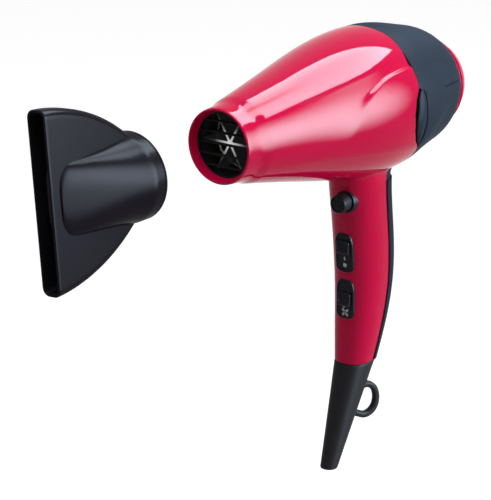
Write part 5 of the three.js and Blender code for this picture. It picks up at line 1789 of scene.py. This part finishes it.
# ---------------------------------------------------------------- nozzle
@dataclass
class Nozzle:
    """Push-on concentrator: a round collar and throat that run into a wide flat slot."""

    gap: float = 73.5
    length: float = 70.0
    roll: float = -4.3
    collar: float = 9.0
    collar_radius: float = 25.02
    wall: float = 1.3
    skin: float = 0.05  # faces this far inside the wall still count as the wall
    slot_half_length: float = 50.0
    slot_half_thickness: float = 6.4
    slot_corner: float = 4.5
    throat_half_length: float = 21.0
    throat_end: float = 63.0
    throat_corner: float = 6.5
    step: float = 1.0
    plate_back: float = 8.0
    plate_root: float = 26.5
    along: int = 80

    def plate_half(self, depth: ndarray) -> ndarray:
        """Half length of the flat plate.

        Args:
            depth: distances behind the collar's rim.

        Returns:
            The half lengths there.
        """
        share = np.linspace(0, 1, 60)
        points = [
            (self.plate_back, self.plate_root), (self.plate_back + 22.5, self.plate_root + 18.6),
            (self.length - 12.6, self.slot_half_length), (self.length, self.slot_half_length),
        ]
        left = 1 - share
        weights = [left**3, 3 * share * left**2, 3 * share**2 * left, share**3]
        x = sum(w * p[0] for w, p in zip(weights, points))
        z = sum(w * p[1] for w, p in zip(weights, points))
        return np.interp(depth, x, z)

    def rounded_box(self, half_y: float, half_z: float, corner: float) -> ndarray:
        """Outline of a rounded rectangle.

        Args:
            half_y: half its width.
            half_z: half its height.
            corner: radius of its corners.

        Returns:
            Points of y and z in order.
        """
        corner = min(corner, half_y, half_z)
        arc = np.linspace(0, math.pi / 2, 14)
        quarter = np.stack([corner * np.cos(arc), corner * np.sin(arc)], axis=1)
        points = []
        for k, (sy, sz) in enumerate(((1, 1), (-1, 1), (-1, -1), (1, -1))):
            part = quarter if k % 2 == 0 else quarter[::-1]
            points.append(part * [sy, sz] + [sy * (half_y - corner), sz * (half_z - corner)])
            if k % 2:
                side = np.linspace(sz, -sz, self.along + 2)[1:-1] * (half_z - corner)
                points.append(np.column_stack([np.full(self.along, sy * half_y), side]))
        return np.concatenate(points)

    def plate_grid(self, inset: float) -> ndarray:
        """Make the skin of the flat plate, or the duct inside it.

        Args:
            inset: distance inside the skin.

        Returns:
            Points in rows from the collar to the slot.
        """
        lip = self.length - 0.5
        depths = [*np.linspace(self.plate_back, lip, 60), self.length - 0.2, self.length]
        rows = []
        for depth in depths:
            ease = max(depth - lip, 0) if inset == 0 else 0
            outline = self.rounded_box(
                self.slot_half_thickness - inset - 0.35 * ease**2 / 0.25,
                float(self.plate_half(depth)) - inset - 0.35 * ease**2 / 0.25,
                self.slot_corner - inset,
            )
            rows.append(np.column_stack([np.full(len(outline), -depth), outline]))
        return np.array(rows)

    def throat_halves(
        self, depth: ndarray, inset: float, lift: float
    ) -> tuple[ndarray, ndarray, ndarray]:
        """Size and squareness of the throat.

        Args:
            depth: distances behind the collar's rim.
            inset: distance inside the skin.
            lift: how far the throat's end stands above the plate.

        Returns:
            Half width, half height and squareness at each depth.
        """
        start, corner = self.collar_radius, self.throat_corner
        straight = np.clip((depth - self.collar) / (self.throat_end - self.collar), 0, 1)
        half_y = start + (self.slot_half_thickness + lift - start) * straight - inset
        half_z = start + (self.throat_half_length - start) * (straight * (2 - straight)) - inset
        past = np.maximum(depth - (self.throat_end - corner), 0)
        half_z = half_z - (corner - np.sqrt(np.maximum(corner**2 - past**2, 0)))
        return half_y, half_z, 2 + 1.2 * smoothstep(self.collar, self.throat_end, depth)

    def in_duct(self, points: ndarray) -> ndarray:
        """Tell which points lie in the air duct of the flat plate.

        Args:
            points: points in the nozzle's frame.

        Returns:
            True for each point inside.
        """
        depth, y, z = -points[..., 0], np.abs(points[..., 1]), np.abs(points[..., 2])
        wall = self.wall + self.skin
        level = (depth > self.plate_back) & (y < self.slot_half_thickness - wall)
        return level & (z < self.plate_half(depth) - wall)

    def in_throat(self, points: ndarray) -> ndarray:
        """Tell which points lie in the air space of the collar and throat.

        Args:
            points: points in the nozzle's frame.

        Returns:
            True for each point inside.
        """
        depth = -points[..., 0]
        half_y, half_z, power = self.throat_halves(depth, self.wall + self.skin, 0)
        y, z = np.abs(points[..., 1]) / half_y, np.abs(points[..., 2]) / half_z
        return (y**power + z**power < 1) & (depth < self.throat_end - 2)

    def throat_ring(self, depth: float, inset: float, lift: float) -> ndarray:
        """Ring of the throat at a depth behind the collar's rim.

        Args:
            depth: distance behind the rim.
            inset: distance inside the skin.
            lift: how far the throat's end stands above the plate.

        Returns:
            Ring of points in the nozzle's frame.
        """
        half_y, half_z, power = self.throat_halves(np.array(depth), inset, lift)
        turn = np.linspace(0, 2 * math.pi, 120, endpoint=False)
        reach = squared(turn, power)
        y, z = half_y * reach * np.sin(turn), half_z * reach * np.cos(turn)
        return np.stack([np.full_like(turn, -depth), y, z], axis=1)

    def throat_grid(self) -> ndarray:
        """Make the throat's skin.

        Returns:
            Points in rows from the inside of the collar over its rim to the step on the plate.
        """
        end, wall, corner = self.throat_end, self.wall, self.throat_corner
        inner = [(d, wall) for d in np.linspace(end - 2, 0.5, 30)]
        rim = [(0.1, wall - 0.3), (0, wall - 0.6), (0, 0.6), (0.12, 0.2), (0.5, 0)]
        groove = [(1.4, 0), (1.6, 0.3), (2.0, 0.3), (2.2, 0)]
        rings = [self.throat_ring(d, inset, 0) for d, inset in (*inner, *rim, *groove)]
        past = [end - corner * (1 - math.sin(a)) for a in np.radians(np.linspace(0, 86, 14))]
        outer = [*np.linspace(2.6, end - corner, 40), *past[1:]]
        rings += [self.throat_ring(d, 0, self.step) for d in outer]
        sizes = (([1, 0.985, 0.97], -0.22), ([1, 0.95, 0.95], -0.3), ([1, 0.7, 0.9], -0.3))
        last = rings[-1]
        return np.array([*rings, *[last * size + [x, 0, 0] for size, x in sizes]])

    def build(self) -> None:
        """Make the nozzle as one piece, without the faces that would cross its duct."""
        turn = Matrix.Rotation(math.radians(self.roll), 4, "X")
        place = Matrix.Translation((-self.gap, 0, 0)) @ turn
        outside, duct = self.plate_grid(0), self.plate_grid(self.wall)
        shell = Shell()
        for grid, flip, hidden in (
            (outside, True, self.in_throat),
            (duct, False, self.in_throat),
            (np.array([outside[-1], duct[-1]]), True, None),
            (np.array([duct[0], outside[0]]), True, self.in_throat),
            (self.throat_grid(), True, self.in_duct),
        ):
            drop = hidden(face_middles(grid)) if hidden else None
            shell.add(moved(grid, place), closed=True, flip=flip, drop=drop)
        shell.build("nozzle_body", NOZZLE_SATIN, "nozzle", "concentrator_nozzle", smooth=40)


# ---------------------------------------------------------------- outlet
@dataclass
class Outlet:
    """Grille in the barrel's mouth: a thin ring and level bars."""

    x: float = 5.3
    thickness: float = 2.7
    radius: float = 20.4
    ring: float = 1.5
    bars: int = 5
    pitch: float = 6.7
    bar_height: float = 0.9

    def build(self) -> None:
        """Make ring and bars."""
        x0, x1 = self.x, self.x + self.thickness
        inner = self.radius - self.ring
        shell = Shell()
        outer = self.radius
        profile = filleted([(x1, inner), (x0, inner), (x0, outer), (x1, outer)], [0.35, 0.35], 4)
        shell.add(turned_grid(profile, 96), closed=True, flip=True)
        for i in range(self.bars):
            z = (i - (self.bars - 1) / 2) * self.pitch
            reach = math.sqrt((inner + 0.4) ** 2 - z * z)
            half = self.bar_height / 2
            section = [
                (x1, -half), (x0 + 0.4, -half), (x0 + 0.1, -half * 0.6), (x0, 0),
                (x0 + 0.1, half * 0.6), (x0 + 0.4, half), (x1, half),
            ]
            stations = np.linspace(-reach, reach, 12)
            shell.add(np.array([[(x, y, z + h) for x, h in section] for y in stations]))
        shell.build("outlet_bars", GRILLE_GREY, "dryer", "outlet_grille", smooth=60)


# ---------------------------------------------------------------- carried-over solids
CARRIED: dict[str, Finish] = {
    "heat_shield": SHADED_SHIELD, "mica_frame": MICA, "heating_coil": NICHROME, "thermal_cutout": STEEL,
    "thermal_fuse": NYLON, "fan_housing": MATT, "impeller": MATT, "motor_can": STEEL,
    "front_bushing": COPPER, "rear_bushing": COPPER, "motor_shaft": STEEL, "upper_magnet": FERRITE,
    "lower_magnet": FERRITE,
    "armature": COPPER, "commutator": COPPER, "motor_end_cap": MATT, "left_brush": GRAPHITE,
    "right_brush": GRAPHITE, "filter_screen": MESH, "heat_switch": MATT, "speed_switch": MATT,
    "cool_shot_spring": STEEL, "cool_shot_microswitch": MATT, "housing_screw_1": STEEL,
    "housing_screw_2": STEEL, "housing_screw_3": STEEL, "housing_screw_4": STEEL,
}


def finish_carried() -> None:
    """Give every solid that shows its own shape its real finish."""
    for name, finish in CARRIED.items():
        solid = frame["nodes"][name]
        solid.data.materials.clear()
        solid.data.materials.append(finish.material())
        LOG.info("%s: finished as %s", name, finish.name)


# ---------------------------------------------------------------- studio
COOL: Colour = (0.72, 0.88, 1.0)  # daylight softboxes


@dataclass
class Panel:
    """Rectangular soft lamp."""

    name: str
    place: tuple[float, float, float]  # of its middle, from the barrel's middle, in metres
    facing: tuple[float, float, float]
    width: float
    height: float
    gloss: float = 0.0  # brightness that gloss and metal show
    fill: float = 0.0  # brightness that matt surfaces get
    turn: float = 0.0  # about the line it faces along, in degrees
    tint: Colour = (1.0, 1.0, 1.0)

    def build(self, target: Vector) -> None:
        """Hang the lamp, once for each kind of surface that it lights.

        Args:
            target: point that its place is measured from.
        """
        spin = Quaternion((0, 0, 1), math.radians(self.turn))
        aim = (-Vector(self.facing)).to_track_quat("Z", "Y") @ spin
        for use, radiance in (("gloss", self.gloss), ("fill", self.fill)):
            if not radiance:
                continue
            data = bpy.data.lights.new(f"{self.name}_{use}", "AREA")
            data.shape, data.size, data.size_y = "RECTANGLE", self.width, self.height
            data.color = self.tint
            data.energy = radiance * math.pi * self.width * self.height
            data.use_nodes = True
            self.shade(data.node_tree, target)
            lamp = bpy.data.objects.new(data.name, data)
            bpy.context.scene.collection.objects.link(lamp)
            lamp.location = target + Vector(self.place)
            lamp.rotation_euler = aim.to_euler()
            lamp.visible_camera = False
            lamp.visible_diffuse = use == "fill"
            lamp.visible_glossy = use == "gloss"

    def shade(self, tree: NodeTree, target: Vector) -> None:
        """Vary the lamp's brightness over its face. A plain panel is even."""


@dataclass
class RoundPanel(Panel):
    """Lamp that fades from its middle to its edges, as cloth over a softbox does."""

    def shade(self, tree: NodeTree, target: Vector) -> None:
        """Fade towards the edges.

        Args:
            tree: lamp's tree.
            target: point that its place is measured from; not used here.
        """
        spot = add_node(tree, "ShaderNodeNewGeometry")
        centred = {0: spot.outputs["Parametric"], 1: (0.5, 0.5, 0.0)}
        offset = add_node(tree, "ShaderNodeVectorMath", centred, operation="SUBTRACT")
        reach = add_node(tree, "ShaderNodeVectorMath", {0: offset.outputs[0]}, operation="LENGTH")
        share = {0: reach.outputs["Value"], 1: 0.5, 2: 0.06}
        level = add_node(tree, "ShaderNodeMapRange", share, interpolation_type="SMOOTHSTEP")
        feed(tree.nodes["Emission"], {"Strength": level.outputs[0]})


@dataclass
class RoofPanel(Panel):
    """Level lamp over the barrel, brighter towards -Y and with a dim strip across its tube."""

    strip: tuple[float, float] = (-0.09, 0.37)  # middle in y and end in x of the dim strip

    def shade(self, tree: NodeTree, target: Vector) -> None:
        """Slope the brightness across the lamp and dim the strip.

        Args:
            tree: lamp's tree.
            target: point that its place is measured from.
        """
        spot = add_node(tree, "ShaderNodeNewGeometry")
        local = {0: spot.outputs["Position"], 1: tuple(target)}
        offset = add_node(tree, "ShaderNodeVectorMath", local, operation="SUBTRACT")
        axes = add_node(tree, "ShaderNodeSeparateXYZ", {0: offset.outputs[0]})
        across = {0: axes.outputs[1], 1: 0.0, 2: -0.40, 3: 0.62, 4: 1.1}
        slope = add_node(tree, "ShaderNodeMapRange", across)
        off = {0: axes.outputs[1], 1: self.strip[0]}
        aside = add_node(tree, "ShaderNodeMath", off, operation="SUBTRACT")
        away = add_node(tree, "ShaderNodeMath", {0: aside.outputs[0]}, operation="ABSOLUTE")
        near = {0: away.outputs[0], 1: 0.10, 2: 0.0}
        across = add_node(tree, "ShaderNodeMapRange", near, interpolation_type="SMOOTHSTEP")
        short = {0: axes.outputs[0], 1: self.strip[1] + 0.03, 2: self.strip[1]}
        along = add_node(tree, "ShaderNodeMapRange", short, interpolation_type="SMOOTHSTEP")
        within = {0: across.outputs[0], 1: along.outputs[0]}
        dim = add_node(tree, "ShaderNodeMath", within, operation="MULTIPLY")
        left = add_node(tree, "ShaderNodeMapRange", {0: dim.outputs[0], 3: 1.0, 4: 0.5})
        whole = {0: slope.outputs[0], 1: left.outputs[0]}
        level = add_node(tree, "ShaderNodeMath", whole, operation="MULTIPLY")
        feed(tree.nodes["Emission"], {"Strength": level.outputs[0]})


@dataclass
class Studio:
    """White studio: floor, surround, lamps and camera."""

    azimuth: float = -51.902
    elevation: float = 18.452
    place: tuple[float, float, float] = (-0.87280, -0.66776, 0.53432)
    lens: float = 141.0
    target_x: float = 70.0  # point of the barrel's axis that the lamps' places are measured from
    floor_z: float = -0.32
    floor_half: float = 9.0
    floor_grey: float = 0.35
    floor_glow: float = 0.86  # as the camera and mirrored rays see it
    surround: float = 0.22
    panels: tuple[Panel, ...] = (
        RoofPanel(
            "roof_softbox", (0.409, -0.14, 0.7), (0, 0, -1), 0.63, 0.63,
            gloss=59.0, turn=45, tint=COOL,
        ),
        RoundPanel(
            "side_softbox", (0.347, -1.133, 0.188), (-0.289, 0.944, -0.156), 1.6, 1.6,
            gloss=81.0, tint=COOL,
        ),
        Panel("sky", (0.0, -0.2, 2.2), (0, 0, -1), 2.4, 2.4, fill=2.2),
        Panel("side_wall", (0.92, -1.96, 0.38), (-0.416, 0.893, -0.174), 1.6, 1.6, fill=3.6),
    )

    def camera(self) -> None:
        """Set the camera."""
        a, e = math.radians(self.azimuth), math.radians(self.elevation)
        right = Vector((math.cos(a), math.sin(a), 0))
        up = Vector((-math.sin(a) * math.sin(e), math.cos(a) * math.sin(e), math.cos(e)))
        back = Vector((math.sin(a) * math.cos(e), -math.cos(a) * math.cos(e), math.sin(e)))
        data = bpy.data.cameras.new("view")
        data.sensor_fit, data.sensor_width, data.lens = "HORIZONTAL", 36.0, self.lens
        camera = bpy.data.objects.new("view", data)
        bpy.context.scene.collection.objects.link(camera)
        rows = [(right[i], up[i], back[i], self.place[i]) for i in range(3)]
        camera.matrix_world = Matrix([*rows, (0, 0, 0, 1)])
        bpy.context.scene.camera = camera

    @staticmethod
    def seen(tree: NodeTree) -> NodeSocket:
        """Find the rays that show the background: straight, mirrored or through glass.

        Args:
            tree: tree that gets the nodes.

        Returns:
            Socket with 1 for those rays and 0 for the others.
        """
        path = add_node(tree, "ShaderNodeLightPath")
        direct = {0: path.outputs["Is Camera Ray"], 1: path.outputs["Is Glossy Ray"]}
        first = add_node(tree, "ShaderNodeMath", direct, operation="MAXIMUM")
        both = {0: first.outputs[0], 1: path.outputs["Is Transmission Ray"]}
        return add_node(tree, "ShaderNodeMath", both, operation="MAXIMUM").outputs[0]

    def floor(self) -> None:
        """Lay the pale floor, which keeps the dryer's shadow."""
        data = bpy.data.meshes.new("floor")
        corners = [(x * self.floor_half, y * self.floor_half, self.floor_z)
                   for x, y in ((-1, -1), (1, -1), (1, 1), (-1, 1))]
        data.from_pydata(corners, [], [(0, 1, 2, 3)])
        plane = bpy.data.objects.new("floor", data)
        bpy.context.scene.collection.objects.link(plane)
        made = bpy.data.materials.new("floor")
        made.use_nodes = True
        tree = made.node_tree
        shader = tree.nodes["Principled BSDF"]
        feed(shader, {"Base Color": rgba((self.floor_grey,) * 3), "Emission Color": (1, 1, 1, 1)})
        feed(shader, {"Roughness": 0.9, "Specular IOR Level": 0.0})
        glow = {0: self.seen(tree), 1: self.floor_glow}
        lift = add_node(tree, "ShaderNodeMath", glow, operation="MULTIPLY")
        feed(shader, {"Emission Strength": lift.outputs[0]})
        data.materials.append(made)

    def world(self) -> None:
        """White surround for the camera and a plain grey one for the object."""
        world = bpy.data.worlds.new("surround")
        world.use_nodes = True
        bpy.context.scene.world = world
        tree = world.node_tree
        levels = {0: self.seen(tree), 3: self.surround, 4: 1.0}
        strength = add_node(tree, "ShaderNodeMapRange", levels).outputs[0]
        feed(tree.nodes["Background"], {"Color": (1, 1, 1, 1), "Strength": strength})

    def build(self) -> None:
        """Make floor, surround, lamps and camera."""
        self.floor()
        self.world()
        target = Vector(DATUM.place(np.array([self.target_x, 0.0, 0.0])))
        for panel in self.panels:
            panel.build(target)
        self.camera()
        bpy.context.scene.view_settings.view_transform = "Standard"


def main() -> None:
    """Build the dryer and its studio in order."""
    logging.basicConfig(level=logging.INFO, format="%(name)s %(message)s")
    switches = (
        SlideSwitch("heat", -97.5, 4.0, (
            Mark(Sign.DROP, 0.2, 2.0), Mark(Sign.DROP, -4.2, 2.2), Mark(Sign.SQUARE, -8.6, 2.6))),
        SlideSwitch("speed", -129.3, 0.0, (
            Mark(Sign.DOT, -4.6, 1.9), Mark(Sign.DOT, -5.6, 1.2, 1.2), Mark(Sign.FAN, -9.2, 4.0))),
    )
    button = CoolShot()
    pieces = (
        Housing(switches=switches, button=button), Hood(), IntakeCover(), Outlet(), button,
        *switches, CordGuard(), Nozzle(),
    )
    for piece in pieces:
        piece.build()
        LOG.info("%s done", type(piece).__name__)
    finish_carried()
    Studio().build()


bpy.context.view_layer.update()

if __name__ == "__main__":
    main()
